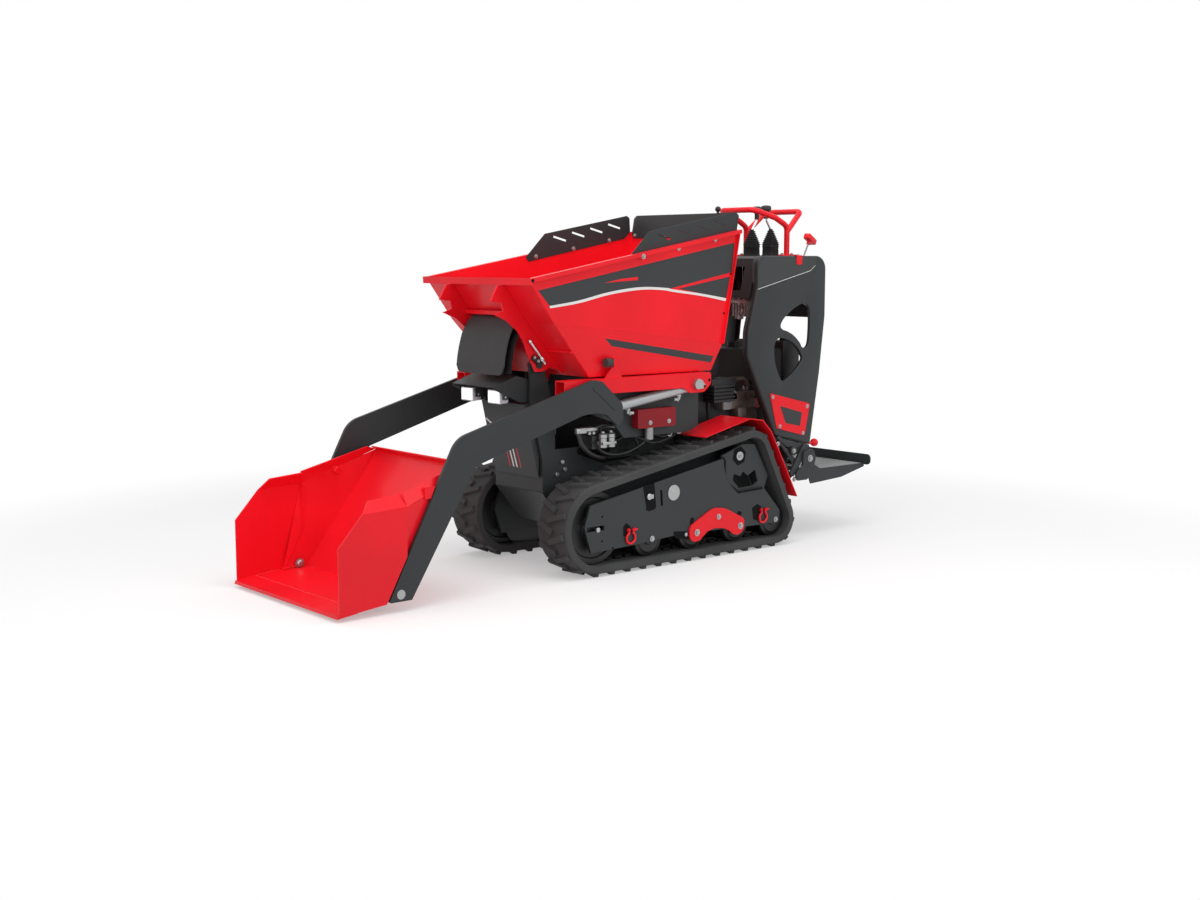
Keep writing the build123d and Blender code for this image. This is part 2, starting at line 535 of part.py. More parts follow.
def make_hopper():
    t = HOPPER_SHEET
    lip, top = HOPPER_LIP, HOPPER_REAR_TOP
    front_crease, rear_crease = HOPPER_FRONT_CREASE, HOPPER_REAR_CREASE
    floor_front, floor_rear = HOPPER_FLOOR_FRONT, HOPPER_FLOOR_REAR
    h = HOPPER_HALF
    yf, yr = lower_side_y(*floor_front), lower_side_y(*floor_rear)
    upper = sheet([(lip[0], h, lip[1]), (top[0], h, top[1]), (rear_crease[0], h, rear_crease[1]),
                   (front_crease[0], h, front_crease[1])], t)
    lower = sheet([(front_crease[0], h, front_crease[1]), (rear_crease[0], h, rear_crease[1]),
                   (floor_rear[0], yr, floor_rear[1]), (floor_front[0], yf, floor_front[1])], t)
    rim_run = (top[0] - lip[0], top[1] - lip[1])
    rim_slope = rim_run[1] / rim_run[0]
    rim = plate([(lip[0], lip[1]), (top[0], top[1]), (top[0], top[1] - 5), (lip[0], lip[1] - 5)], h - 2,
                HOPPER_RIM_Y)
    turn_down = plate([(lip[0], lip[1]), (top[0], top[1]), (top[0], top[1] - 16), (lip[0] - 12, lip[1] - 16)],
                      HOPPER_RIM_Y - 4, HOPPER_RIM_Y)
    rear_edge = plate([(top[0], top[1]), (top[0] + 5, top[1]), (rear_crease[0] + 5, rear_crease[1]),
                       (rear_crease[0], rear_crease[1])], h - 2, HOPPER_RIM_Y - 6)
    side = upper + [lower, rim, turn_down, rear_edge]
    front_high = sheet([(lip[0], -h, lip[1]), (lip[0], h, lip[1]), (front_crease[0], h, front_crease[1]),
                        (front_crease[0], -h, front_crease[1])], t)
    front_low = sheet([(front_crease[0], -h, front_crease[1]), (front_crease[0], h, front_crease[1]),
                       (floor_front[0], yf, floor_front[1]), (floor_front[0], -yf, floor_front[1])], t)
    floor = sheet([(floor_front[0], yf, floor_front[1]), (floor_rear[0], yr, floor_rear[1]),
                   (floor_rear[0], -yr, floor_rear[1]), (floor_front[0], -yf, floor_front[1])], t)
    rear_low = sheet([(floor_rear[0], yr, floor_rear[1]), (rear_crease[0], h, rear_crease[1]),
                      (rear_crease[0], -h, rear_crease[1]), (floor_rear[0], -yr, floor_rear[1])], t)
    rear_high = sheet([(rear_crease[0], h, rear_crease[1]), (top[0], h, top[1]), (top[0], -h, top[1]),
                       (rear_crease[0], -h, rear_crease[1])], t)
    lip_fold = plate([(lip[0] - 4, lip[1]), (lip[0] + 4, lip[1] + 2), (lip[0] + 2, lip[1] - 26),
                      (lip[0] - 12, lip[1] - 26)], -HOPPER_RIM_Y, HOPPER_RIM_Y)
    lug_front = TIP_EYE[0] + 34
    rise = (front_crease[1] - floor_front[1]) / (front_crease[0] - floor_front[0])
    tip_lug = plate([(TIP_EYE[0] - 36, floor_front[1]), floor_front,
                     (lug_front, floor_front[1] + rise * (lug_front - floor_front[0])),
                     (TIP_EYE[0] + 18, TIP_EYE[1] - 16), (TIP_EYE[0] - 18, TIP_EYE[1] - 16)], 24, 32)
    shelf_x = front_wall_x(SHELF_Z)
    shelf = block(shelf_x - t, shelf_x + SHELF_DEPTH, RIB_INNER_Y + RIB_PLATE + SEAT,
                  lower_side_y(shelf_x, SHELF_Z), SHELF_Z, SHELF_Z + 6)
    walls = [mirror(side, about=Plane.XZ), front_high, front_low, floor, rear_low, rear_high, lip_fold]
    return side + walls + [both_sides(tip_lug), both_sides(shelf)]


def front_wall_x(z):
    """Outer surface of the hopper's front wall, which bends at its crease, at a height."""
    low, high = HOPPER_FLOOR_FRONT, HOPPER_FRONT_CREASE
    if z > HOPPER_FRONT_CREASE[1]:
        low, high = HOPPER_FRONT_CREASE, HOPPER_LIP
    rise = high[1] - low[1]
    stand_off = HOPPER_SHEET / 2 * math.dist(low, high) / rise
    return low[0] + (z - low[1]) * (high[0] - low[0]) / rise + stand_off


def make_rib():
    """Front rib with an upper spike, a notch, a hook and the round pivot lug."""
    wall = [(front_wall_x(z) + SEAT, z) for z in (812, HOPPER_FRONT_CREASE[1], 1168)]
    outline = [wall[2], (606, 1166), (641, 1105), (588, 1100), (580, 1066), (624, 1054), (563, 1028),
               (513, 989), (482, 943), (466, 897), (HOPPER_PIVOT[0] + 33, 850), (HOPPER_PIVOT[0] + 20, 822),
               (HOPPER_PIVOT[0] - 20, 822), (352, 836), (310, 826), (276, 804), wall[0], wall[1]]
    rib = plate(outline, RIB_INNER_Y, RIB_INNER_Y + RIB_PLATE)
    rib -= bar(*HOPPER_PIVOT, HOPPER_PIN_R + PIVOT_CLEARANCE, RIB_INNER_Y - 1, RIB_INNER_Y + RIB_PLATE + 1)
    return rib


def make_side_panel():
    outline = [(70, 1277), (55, 1257), (-498, 1360), (-534, 1392), (-530, 1454), (-514, 1465), (-35, 1379)]
    panel = plate(outline, HOPPER_HALF - 2 - PANEL_SHEET, HOPPER_HALF - 2)
    for i in range(4):
        x, z = -118 - 106 * i, 1350 + 19.4 * i
        slot = [(x + 36, z + 13), (x - 36, z - 5), (x - 38, z + 3), (x + 34, z + 21)]
        panel -= plate(slot, HOPPER_HALF - 10, HOPPER_HALF)
    return panel


def make_rear_panel():
    wide = HOPPER_HALF - PANEL_GAP
    narrow = wide - PANEL_CUT
    corners = [(-narrow, 1362), (narrow, 1362), (wide, 1380), (wide, 1452), (narrow, 1466), (-narrow, 1466),
               (-wide, 1452), (-wide, 1380)]
    return sheet([(-539 - 0.195 * (z - 1368), y, z) for y, z in corners], PANEL_SHEET)


def make_apron():
    """Curved rubber apron hung on the front of the cross bar between the ribs."""
    top, bottom, sheet_x = (516, 1060), (562, 815), 6
    outer = ThreePointArc(top, (547, 925), bottom)
    inner = ThreePointArc((bottom[0] - sheet_x, bottom[1]), (547 - sheet_x, 925), (top[0] - sheet_x, top[1]))
    face = make_face([outer, Line(bottom, (bottom[0] - sheet_x, bottom[1])), inner,
                      Line((top[0] - sheet_x, top[1]), top)])
    return extrude(Plane.XZ.offset(-APRON_HALF) * face, 2 * APRON_HALF)


hook_bar = block(504.7, 510 - SEAT, -RIB_INNER_Y - 1, RIB_INNER_Y + 1, 1047, 1063)
save("hopper", make_hopper())
save("hopper_ribs", both_sides(make_rib()) + hook_bar)
save_pair("hopper_panel", make_side_panel())
save("hopper_panel_rear", make_rear_panel())
save("rubber_apron", make_apron())


# ---- cylinders ----
def make_barrel(base, eye, radius, eye_y, half_width, share):
    run = math.dist(base, eye)
    at = (base[0] + (eye[0] - base[0]) * share, base[1] + (eye[1] - base[1]) * share)
    from_eye = 0.6 * radius / run
    start = (base[0] + (eye[0] - base[0]) * from_eye, base[1] + (eye[1] - base[1]) * from_eye)
    body = rod_between(start, at, radius, eye_y)
    body += bar(*base, radius, eye_y - half_width, eye_y + half_width)
    return body


def make_rod(base, eye, radius, eye_r, eye_y, half_width, share):
    start = (base[0] + (eye[0] - base[0]) * share, base[1] + (eye[1] - base[1]) * share)
    body = rod_between(start, eye, radius, eye_y)
    return body + bar(*eye, eye_r, eye_y - half_width, eye_y + half_width)


lift_barrel = make_barrel(LIFT_BASE, LIFT_EYE, LIFT_BARREL_R, RAIL_MID_Y, LIFT_BARREL_R, 0.9)
lift_barrel -= bar(*LIFT_BASE, 12 + PIVOT_CLEARANCE, RAIL_INNER_Y, RAIL_OUTER_Y)
bore_start = (LIFT_BASE[0] + (LIFT_EYE[0] - LIFT_BASE[0]) * 0.12, LIFT_BASE[1] + (LIFT_EYE[1] - LIFT_BASE[1]) * 0.12)
bore_end = (LIFT_EYE[0], LIFT_EYE[1])
lift_barrel -= rod_between(bore_start, bore_end, LIFT_ROD_R + PIVOT_CLEARANCE, RAIL_MID_Y)
save_pair("lift_barrel", lift_barrel)
save_pair("lift_rod", make_rod(LIFT_BASE, LIFT_EYE, LIFT_ROD_R, LIFT_EYE_R, RAIL_MID_Y,
                              LIFT_EYE_HALF, 0.42))
tip_barrel = make_barrel(TIP_BASE, TIP_EYE, TIP_BARREL_R, 0, 30, 0.82)
tip_barrel -= bar(*TIP_BASE, 14 + PIVOT_CLEARANCE, -50, 50)
tip_bore_start = (TIP_BASE[0] + (TIP_EYE[0] - TIP_BASE[0]) * 0.16, TIP_BASE[1] + (TIP_EYE[1] - TIP_BASE[1]) * 0.16)
tip_barrel -= rod_between(tip_bore_start, TIP_EYE, TIP_ROD_R + PIVOT_CLEARANCE, 0)
save("tip_barrel", tip_barrel)
save("tip_rod", make_rod(TIP_BASE, TIP_EYE, TIP_ROD_R, 18, 0, 17, 0.3))


# ---- engine bay ----
def make_engine_block():
    crankcase = block(-735, -470, -120, 120, 505, 690)
    sump = block(-715, -490, -95, 95, 470, 506)
    fan_shroud = extrude(Plane.YZ.offset(-470) * Pos(0, 610) * Circle(118), 34)
    fan_shroud -= extrude(Plane.YZ.offset(-438) * Pos(0, 610) * Circle(88), 4)
    pump = extrude(Plane.YZ.offset(-790) * Pos(0, 600) * Circle(48), 56)
    feet = [block(x - 20, x + 20, -TUB_HALF + 2, TUB_HALF - 2, TUB_TOP, 514) for x in (-690, -520)]
    heads = []
    for side in (-1, 1):
        for i in range(5):
            z = 640 + 16 * i
            heads.append(block(-690, -560, side * 152 - 42, side * 152 + 42, z, z + 9))
        heads.append(block(-680, -570, side * 146 - 34, side * 146 + 34, 636, 720))
        heads.append(block(-700, -550, side * 150 - 38, side * 150 + 38, 712, 742))
    return crankcase + [sump, fan_shroud, pump] + feet + heads


def make_air_cleaner():
    can = bar(-600, 800, 62, -110, 90)
    lid = bar(-600, 800, 66, 90, 112)
    neck = block(-625, -575, -30, 30, 690, 745)
    return can + [lid, neck]


def make_muffler():
    body = bar(-852, 560, 46, -150, 130)
    pipe = tube_path([(-836, 124, 590), (-836, 124, 700), (-806, 124, 728), (-700 - SEAT, 124, 728)], 14, 20)
    return body + pipe


def make_fuel_tank():
    tank = block(-1035, -860, -150, 150, 650, 860)
    tank = fillet(tank.edges().filter_by(Axis.Y), 24)
    cap = Pos(-950, -80, 858) * Cylinder(26, 26, align=(Align.CENTER, Align.CENTER, Align.MIN))
    return tank + cap


save("engine_block", make_engine_block())
save("air_cleaner", make_air_cleaner())
save("muffler", make_muffler())
save("fuel_tank", make_fuel_tank())


# ---- control column ----
COLUMN_OUTLINE = [(-757, 1271), (-801, 1282), (-1129, 1283), (-1183, 1236), (-1187, 992), (-1167, 755),
                  (-1099, 416), (-1038, 431), (-867, 478), (-672, 840), (-675, 975), (-711, 1095)]
COLUMN_ROUNDS = [14, 10, 20, 20, 60, 60, 12, 12, 20, 40, 30, 40]
UPPER_OPENING = [(-1036, 1066), (-917, 1014), (-885, 969), (-936, 945), (-1040, 871), (-1069, 886), (-1077, 1026)]
LOWER_OPENING = [(-837, 871), (-880, 931), (-1018, 856), (-1030, 808), (-941, 727), (-896, 725), (-849, 832)]


def make_column_side():
    """Pressed side of the column: a pan with an inward flange and two flanged openings."""
    outer = make_face(FilletPolyline(*COLUMN_OUTLINE, radius=COLUMN_ROUNDS, close=True))
    inner = offset(outer, -COLUMN_SHEET)
    y_in = COLUMN_HALF - COLUMN_FLANGE
    pan = extrude(Plane.XZ.offset(-COLUMN_HALF) * outer, COLUMN_FLANGE)
    pan -= extrude(Plane.XZ.offset(-(COLUMN_HALF - COLUMN_SHEET)) * inner, COLUMN_FLANGE)
    for opening in (UPPER_OPENING, LOWER_OPENING):
        hole = make_face(FilletPolyline(*opening, radius=18, close=True))
        collar = offset(hole, COLUMN_SHEET)
        pan += extrude(Plane.XZ.offset(-COLUMN_HALF) * collar, 18)
        pan -= extrude(Plane.XZ.offset(-COLUMN_HALF - 1) * hole, COLUMN_FLANGE + 2)
    tray = [(-818, 675), (-1082, 613), (-1051, 468), (-866, 513)]
    panel = plate(tray, COLUMN_HALF, COLUMN_HALF + 4, 10)
    panel -= plate([(-887, 612), (-1030, 577), (-1024, 510), (-922, 537)], COLUMN_HALF + 1, COLUMN_HALF + 5)
    return pan + panel


def make_console():
    """Top, front and rear sheets between the column sides."""
    y = COLUMN_HALF - COLUMN_FLANGE
    top = block(-1129, -801, -y, y, COLUMN_TOP - 4, COLUMN_TOP)
    slope = sheet([(-801, -y, 1280), (-801, y, 1280), (-757, y, 1269), (-757, -y, 1269)], 4)
    front = sheet([(-757, -y, 1270), (-757, y, 1270), (-711, y, 1096), (-711, -y, 1096)], 4)
    front -= block(-780, -690, -y + 60, y - 60, 1130, 1235)
    rear_slope = sheet([(-1129, -y, 1281), (-1129, y, 1281), (-1181, y, 1236), (-1181, -y, 1236)], 4)
    rear = block(-1185, -1181, -y, y, 1000, 1237)
    return top + [slope, front, rear_slope, rear]


def make_column_shelves():
    y = COLUMN_HALF - COLUMN_FLANGE
    foot = sheet([(-1094, -y, 419), (-1094, y, 419), (-867, y, 480), (-867, -y, 480)], 6)
    edge = block(-1092, -1084, -y, y, 418, 480)
    shelf_y = COLUMN_HALF - COLUMN_SHEET
    shelf = block(-1130, -856, -shelf_y, shelf_y, 642, 650)
    return Compound(children=[foot + edge, shelf])


def make_control_valve():
    body = block(-1010, -890, -110, 110, 1010, 1110)
    spools = []
    for i in range(5):
        y = -88 + 44 * i
        spools.append(Pos(-950, y, 1108) * Cylinder(13, 60, align=(Align.CENTER, Align.CENTER, Align.MIN)))
        spools.append(rod_between((-890, 1035), (-862, 1035), 12, y))
    hanger = block(-1004, -996, -120, 120, 1100, COLUMN_TOP - 4) - block(-1005, -995, -96, 96, 1150, 1260)
    return body + spools + [hanger]


def make_lever(y, lean):
    """Rubber boot, a box below a square pyramid, with a lever and its round knob."""
    collar_z = COLUMN_TOP + BOOT_COLLAR
    collar = block(LEVER_X - BOOT_HALF, LEVER_X + BOOT_HALF, y - BOOT_HALF, y + BOOT_HALF, COLUMN_TOP, collar_z)
    base = Plane.XY.offset(collar_z) * Pos(LEVER_X, y) * Rectangle(2 * BOOT_HALF, 2 * BOOT_HALF)
    tip = Plane.XY.offset(BOOT_TOP) * Pos(LEVER_X, y) * Rectangle(20, 20)
    stick = rod_between((LEVER_X, BOOT_TOP - 20), (LEVER_X + lean, KNOB_Z), 5, y)
    knob = Cylinder(KNOB_R, KNOB_LENGTH)
    knob = chamfer(knob.edges().filter_by(GeomType.CIRCLE), 8)
    return collar + [loft([base, tip]), stick, Pos(LEVER_X + lean, y, KNOB_Z) * knob]


def make_latch_knob():
    post = Pos(-1123, 200, COLUMN_TOP) * Cylinder(8, 76, align=(Align.CENTER, Align.CENTER, Align.MIN))
    return post + Pos(-1123, 200, 1362) * Box(18, 44, 16)


BARS = (  # foot x, foot y, top x, top y, top z
    (-1086, 130, -1086, 130, 1410),
    (-905, 122, -884, 104, 1495),
    (-1120, 130, -1195, 116, 1490),
)


def make_grab_bars():
    """Grab bar on two uprights per side with a front and a rear hoop."""
    foot_z = COLUMN_TOP + 6
    loops = []
    for foot_x, foot_y, top_x, top_y, top_z in BARS:
        loops.append(tube_path([(foot_x, foot_y, foot_z), (top_x, top_y, top_z), (top_x, -top_y, top_z),
                                (foot_x, -foot_y, foot_z)], TUBE_R, 36))
    feet = block(-1146, -1062, 112, 148, COLUMN_TOP, foot_z + 4) + block(-926, -884, 104, 140, COLUMN_TOP, foot_z + 4)
    return both_sides(feet) + loops


save_pair("column_side", make_column_side())
save("console", make_console())
save("control_valve", make_control_valve())
save("control_lever_left", make_lever(LEVER_Y, LEVER_LEAN))
save("control_lever_right", make_lever(-LEVER_Y, -LEVER_LEAN))
save("latch_knob", make_latch_knob())
save("column_shelves", make_column_shelves())
save("grab_bars", make_grab_bars())


# ---- rear bracket and operator platform ----
def make_rear_bracket():
    inner = plate([(TUB_REAR, 470), (TUB_REAR, 215), (-980, 235), (-1088, 330), (-1094, 415.5), (-867, 476.5)],
                  TUB_HALF - 10, TUB_HALF)
    outer = plate([(-870, 470), (-880, 330), (-950, 232), (-1052, 232), (-1068, 300), (-1100, 345), (-1098, 380),
                   (-1076, 398), (-1096, 412)], 272, 282)
    beam = block(-990, -900, -272, 272, 360, 410)
    pivot = bar(*PLATFORM_PIVOT, 22, -282, 282) + bar(*PLATFORM_PIVOT, 12, -300, 300)
    knob = rod_between((-1070, 380), (-1116, 419), 5, 276) + rod_between((-1114, 417), (-1134, 434), 15, 276)
    return both_sides(inner + outer) + [beam, pivot, knob]


def make_platform():
    side = plate([(-1088, 240), (-1080, 258), (-1061, 304), (-1048, 352), (-1060, 384), (-1088, 384),
                  (-1106, 330), (-1150, 306), (-1462, 304), (-1462, 288), (-1300, 252)],
                 290, 296, [3, 20, 20, 14, 14, 14, 30, 20, 2, 6, 60])
    side -= bar(*PLATFORM_PIVOT, 12 + PIVOT_CLEARANCE, 280, 300)
    deck = block(-1464, -1112, -290, 290, 292, 302)
    for i in range(6):
        for j in range(9):
            x, y = -1450 + 56 * i, -274 + 61.6 * j
            deck -= block(x, x + 46, y, y + 52, 290, 304)
    lip = Pos(-1467, 0, 322) * Rot(0, 90, 0) * extrude(RectangleRounded(50, 2 * LIP_HALF, 20), 3, both=True)
    tube = block(-1130, -1110, -290, 290, 284, 304)
    return both_sides(side) + [deck, lip, tube]


save("rear_bracket", make_rear_bracket())
save("platform", make_platform())
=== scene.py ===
import math

import bmesh
import bpy
from mathutils import Matrix, Vector
from mathutils.bvhtree import BVHTree


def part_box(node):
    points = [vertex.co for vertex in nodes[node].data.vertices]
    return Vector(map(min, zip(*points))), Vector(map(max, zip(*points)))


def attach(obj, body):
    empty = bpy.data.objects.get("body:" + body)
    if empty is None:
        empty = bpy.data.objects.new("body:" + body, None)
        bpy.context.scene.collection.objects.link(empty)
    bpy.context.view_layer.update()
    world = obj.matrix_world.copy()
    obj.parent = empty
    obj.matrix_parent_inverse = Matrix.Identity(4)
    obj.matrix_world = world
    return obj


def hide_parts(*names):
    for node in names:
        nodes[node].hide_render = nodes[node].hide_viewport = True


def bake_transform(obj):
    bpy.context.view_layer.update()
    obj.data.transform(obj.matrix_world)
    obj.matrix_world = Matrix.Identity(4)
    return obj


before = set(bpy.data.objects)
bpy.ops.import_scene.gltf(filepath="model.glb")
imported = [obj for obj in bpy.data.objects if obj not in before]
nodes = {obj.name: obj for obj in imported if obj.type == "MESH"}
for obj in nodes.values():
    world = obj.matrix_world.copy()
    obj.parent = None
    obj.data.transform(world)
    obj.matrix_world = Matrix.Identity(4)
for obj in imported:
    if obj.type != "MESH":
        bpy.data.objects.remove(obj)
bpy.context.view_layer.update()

# Lengths below are in millimetres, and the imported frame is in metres.
scene = bpy.context.scene
MM = 0.001
SIDES = (("left", 1), ("right", -1))

# Studio: a pale seamless floor, an overhead soft box, two side boxes and a pale world.
# Seen directly the floor is white a few metres out, and near the machine it keeps the shadow.
scene.view_settings.view_transform = "Standard"
WHITE = (1, 1, 1, 1)
FLOOR_SIZE, FLOOR_WHITE_FROM, FLOOR_WHITE_TO = 40, 2.1, 3.6
FLOOR_LIT, FLOOR_GLOW, SKY_LIT = 0.62, 0.36, 0.62
MIRROR_RAYS = ("Is Glossy Ray", "Is Transmission Ray")
CAMERA_PLACE, CAMERA_YAW, CAMERA_DIP = (4.1043, 4.9365, 1.2702), math.radians(229.8188), math.radians(7.2224)
CAMERA_LENS, CAMERA_SENSOR = 45.30, 36


def add_node(tree, kind, **numbers):
    """A shader node with numbers set on its own sockets, whose names have spaces for underscores."""
    node = tree.nodes.new(kind)
    for socket, number in numbers.items():
        node.inputs[socket.replace("_", " ")].default_value = number
    return node


def link(tree, source, output, target, name):
    """Joins the output of one node to the input of another."""
    tree.links.new(source.outputs[output], target.inputs[name])


def any_ray(tree, kinds):
    """A node and its output: one where the ray is of any of these kinds."""
    path = add_node(tree, "ShaderNodeLightPath")
    ray = (path, kinds[0])
    for kind in kinds[1:]:
        either = add_node(tree, "ShaderNodeMath")
        either.operation = "MAXIMUM"
        link(tree, *ray, either, 0)
        link(tree, path, kind, either, 1)
        ray = (either, 0)
    return ray


def mix(tree, share, first, second):
    """A mix of two shaders, its share given as a node and its output."""
    mixed = add_node(tree, "ShaderNodeMixShader")
    link(tree, *share, mixed, "Fac")
    link(tree, first, 0, mixed, 1)
    link(tree, second, 0, mixed, 2)
    return mixed


def floor_material():
    """Matt floor that turns white further out, for the camera and in mirrors and glass."""
    material = bpy.data.materials.new("studio_floor")
    material.use_nodes = True
    tree = material.node_tree
    tree.nodes.clear()
    matt = add_node(tree, "ShaderNodeBsdfDiffuse", Color=(FLOOR_LIT, FLOOR_LIT, FLOOR_LIT, 1))
    near = add_node(tree, "ShaderNodeAddShader")
    link(tree, matt, 0, near, 0)
    link(tree, add_node(tree, "ShaderNodeEmission", Strength=FLOOR_GLOW), 0, near, 1)
    white = add_node(tree, "ShaderNodeEmission")
    reach = add_node(tree, "ShaderNodeVectorMath")
    reach.operation = "LENGTH"
    link(tree, add_node(tree, "ShaderNodeTexCoord"), "Object", reach, 0)
    fade = add_node(tree, "ShaderNodeMapRange", From_Min=FLOOR_WHITE_FROM, From_Max=FLOOR_WHITE_TO)
    fade.interpolation_type = "SMOOTHSTEP"
    link(tree, reach, "Value", fade, "Value")
    seen = mix(tree, (fade, "Result"), near, white)
    seen = mix(tree, any_ray(tree, ["Is Camera Ray"]), matt, seen)
    seen = mix(tree, any_ray(tree, MIRROR_RAYS), seen, white)
    link(tree, seen, 0, add_node(tree, "ShaderNodeOutputMaterial"), "Surface")
    return material


def soft_box(name, place, target, width, height, power):
    """A rectangular lamp that faces a target."""
    lamp = bpy.data.lights.new(name, "AREA")
    lamp.shape = "RECTANGLE"
    lamp.size, lamp.size_y, lamp.energy = width, height, power
    box = bpy.data.objects.new(name, lamp)
    box.location = place
    box.rotation_euler = (Vector(target) - Vector(place)).to_track_quat("-Z", "Y").to_euler()
    scene.collection.objects.link(box)


floor_form = bmesh.new()
bmesh.ops.create_grid(floor_form, x_segments=8, y_segments=8, size=FLOOR_SIZE)
floor_mesh = bpy.data.meshes.new("studio_floor")
floor_form.to_mesh(floor_mesh)
floor_form.free()
floor_mesh.materials.append(floor_material())
floor = bpy.data.objects.new("studio_floor", floor_mesh)
scene.collection.objects.link(floor)

scene.world = bpy.data.worlds.new("studio_sky")
scene.world.use_nodes = True
sky = scene.world.node_tree
sky_lit = sky.nodes["Background"]
sky_lit.inputs["Color"].default_value = WHITE
sky_lit.inputs["Strength"].default_value = SKY_LIT
sky_seen = mix(sky, any_ray(sky, (*MIRROR_RAYS, "Is Camera Ray")), sky_lit,
               add_node(sky, "ShaderNodeBackground", Color=WHITE))
link(sky, sky_seen, 0, sky.nodes["World Output"], "Surface")

soft_box("overhead_box", (0.4, 0.6, 4.6), (0, 0, 0.5), 4.0, 3.0, 85)
soft_box("front_box", (4.2, 1.6, 2.6), (0.3, 0, 0.6), 2.5, 2.2, 32)
soft_box("side_box", (-0.6, 4.4, 2.4), (0, 0, 0.6), 3.0, 2.2, 40)

# The camera stands at the left front, above the hopper's floor, and looks slightly down.
camera = bpy.data.cameras.new("camera")
camera.lens, camera.sensor_width = CAMERA_LENS, CAMERA_SENSOR
tripod = bpy.data.objects.new("camera", camera)
tripod.location = CAMERA_PLACE
heading = Vector((math.cos(CAMERA_YAW) * math.cos(CAMERA_DIP), math.sin(CAMERA_YAW) * math.cos(CAMERA_DIP),
                  -math.sin(CAMERA_DIP)))
tripod.rotation_euler = heading.to_track_quat("-Z", "Y").to_euler()
scene.collection.objects.link(tripod)
scene.camera = tripod


# Bucket: folded and welded steel plate, gloss red powder coat with a fine orange peel.
# Inside, the lower pin of each arm ends in a plated cap, and the upper one under a red cover.
RED = (0.93, 0.008, 0.019)
DARK_TONE_FROM, PALE_TONE_FROM, CLEAR_COAT_ROUGHNESS, PEEL_DEPTH = 0.3, 0.75, 0.12, 0.0004
JOIN_WITHIN, ROUND_OVER = 0.00002, math.radians(32)


def coat(name, colour, roughness, gloss=0.0, peel=0.25, grain=420.0, shade=0.12, metal=0.0, level=0.5):
    """Paint, plastic, rubber or metal whose tone, roughness and surface all vary a little."""
    material = bpy.data.materials.new(name)
    material.use_nodes = True
    tree = material.node_tree
    skin = tree.nodes["Principled BSDF"]
    skin.inputs["Metallic"].default_value = metal
    skin.inputs["Coat Weight"].default_value = gloss
    skin.inputs["Coat Roughness"].default_value = CLEAR_COAT_ROUGHNESS
    skin.inputs["Specular IOR Level"].default_value = level
    place = add_node(tree, "ShaderNodeTexCoord")
    cloud = add_node(tree, "ShaderNodeTexNoise", Scale=3.2, Detail=5.0)
    link(tree, place, "Object", cloud, "Vector")
    tone = add_node(tree, "ShaderNodeValToRGB")
    low, high = tone.color_ramp.elements
    low.position, high.position = DARK_TONE_FROM, PALE_TONE_FROM
    low.color = (*(c * (1 - shade) for c in colour), 1)
    high.color = (*(min(1, c * (1 + shade)) for c in colour), 1)
    link(tree, cloud, "Fac", tone, "Fac")
    link(tree, tone, "Color", skin, "Base Color")
    matt = add_node(tree, "ShaderNodeMapRange", To_Min=roughness - 0.06, To_Max=roughness + 0.08)
    link(tree, cloud, "Fac", matt, "Value")
    link(tree, matt, "Result", skin, "Roughness")
    fine = add_node(tree, "ShaderNodeTexNoise", Scale=grain, Detail=3.0)
    link(tree, place, "Object", fine, "Vector")
    bump = add_node(tree, "ShaderNodeBump", Strength=peel, Distance=PEEL_DEPTH)
    link(tree, fine, "Fac", bump, "Height")
    link(tree, bump, "Normal", skin, "Normal")
    return material


def dress(names, material, edge=1.2, segments=2):
    """Paints nodes and rounds their cut edges."""
    for name in names:
        node = nodes[name]
        node.data.materials.clear()
        node.data.materials.append(material)
        weld = node.modifiers.new("joined_facets", "WELD")
        weld.merge_threshold = JOIN_WITHIN
        if edge:
            round_over = node.modifiers.new("rounded_edges", "BEVEL")
            round_over.width = edge * MM
            round_over.segments = segments
            round_over.limit_method = "ANGLE"
            round_over.angle_limit = ROUND_OVER
            round_over.harden_normals = True
            round_over.use_clamp_overlap = True
        smooth = node.modifiers.new("even_shading", "WEIGHTED_NORMAL")
        smooth.keep_sharp = True
        for face in node.data.polygons:
            face.use_smooth = True


def pair(name):
    """The names of a left and a right node."""
    return [f"{name}_left", f"{name}_right"]


red_coat = coat("red_powder_coat", RED, 0.36, gloss=0.12, level=0.22)
dress(["bucket"], red_coat)

skins = {}
STAND_OFF = 3


def land(node, place, heading):
    """Where a line through a place first meets a node from well outside, and the face's normal."""
    if node not in skins:
        form = bmesh.new()
        form.from_mesh(nodes[node].data)
        skins[node] = BVHTree.FromBMesh(form)
        form.free()
    heading = Vector(heading).normalized()
    hit, normal, _, _ = skins[node].ray_cast(Vector(place) * MM - heading * STAND_OFF, heading)
    if hit is None:
        raise ValueError(f"nothing to land on at {node} {tuple(place)}")
    return hit / MM, -normal if normal.dot(heading) > 0 else normal


def land_beside(node, x, z, sign):
    """The place on the outside of a node, seen from one side of the machine."""
    return land(node, (x, 0, z), (0, -sign, 0))[0]


def skin_over(form, rings):
    """Faces between rings that follow one another, and over both ends. A ring may be a single tip."""
    for low, high in zip(rings, rings[1:]):
        around = max(len(low), len(high))
        for i in range(around):
            j = (i + 1) % around
            corners = [low[i % len(low)], low[j % len(low)], high[j % len(high)], high[i % len(high)]]
            form.faces.new(list(dict.fromkeys(corners)))
    if len(rings[0]) > 1:
        form.faces.new(list(reversed(rings[0])))
    if len(rings[-1]) > 1:
        form.faces.new(rings[-1])


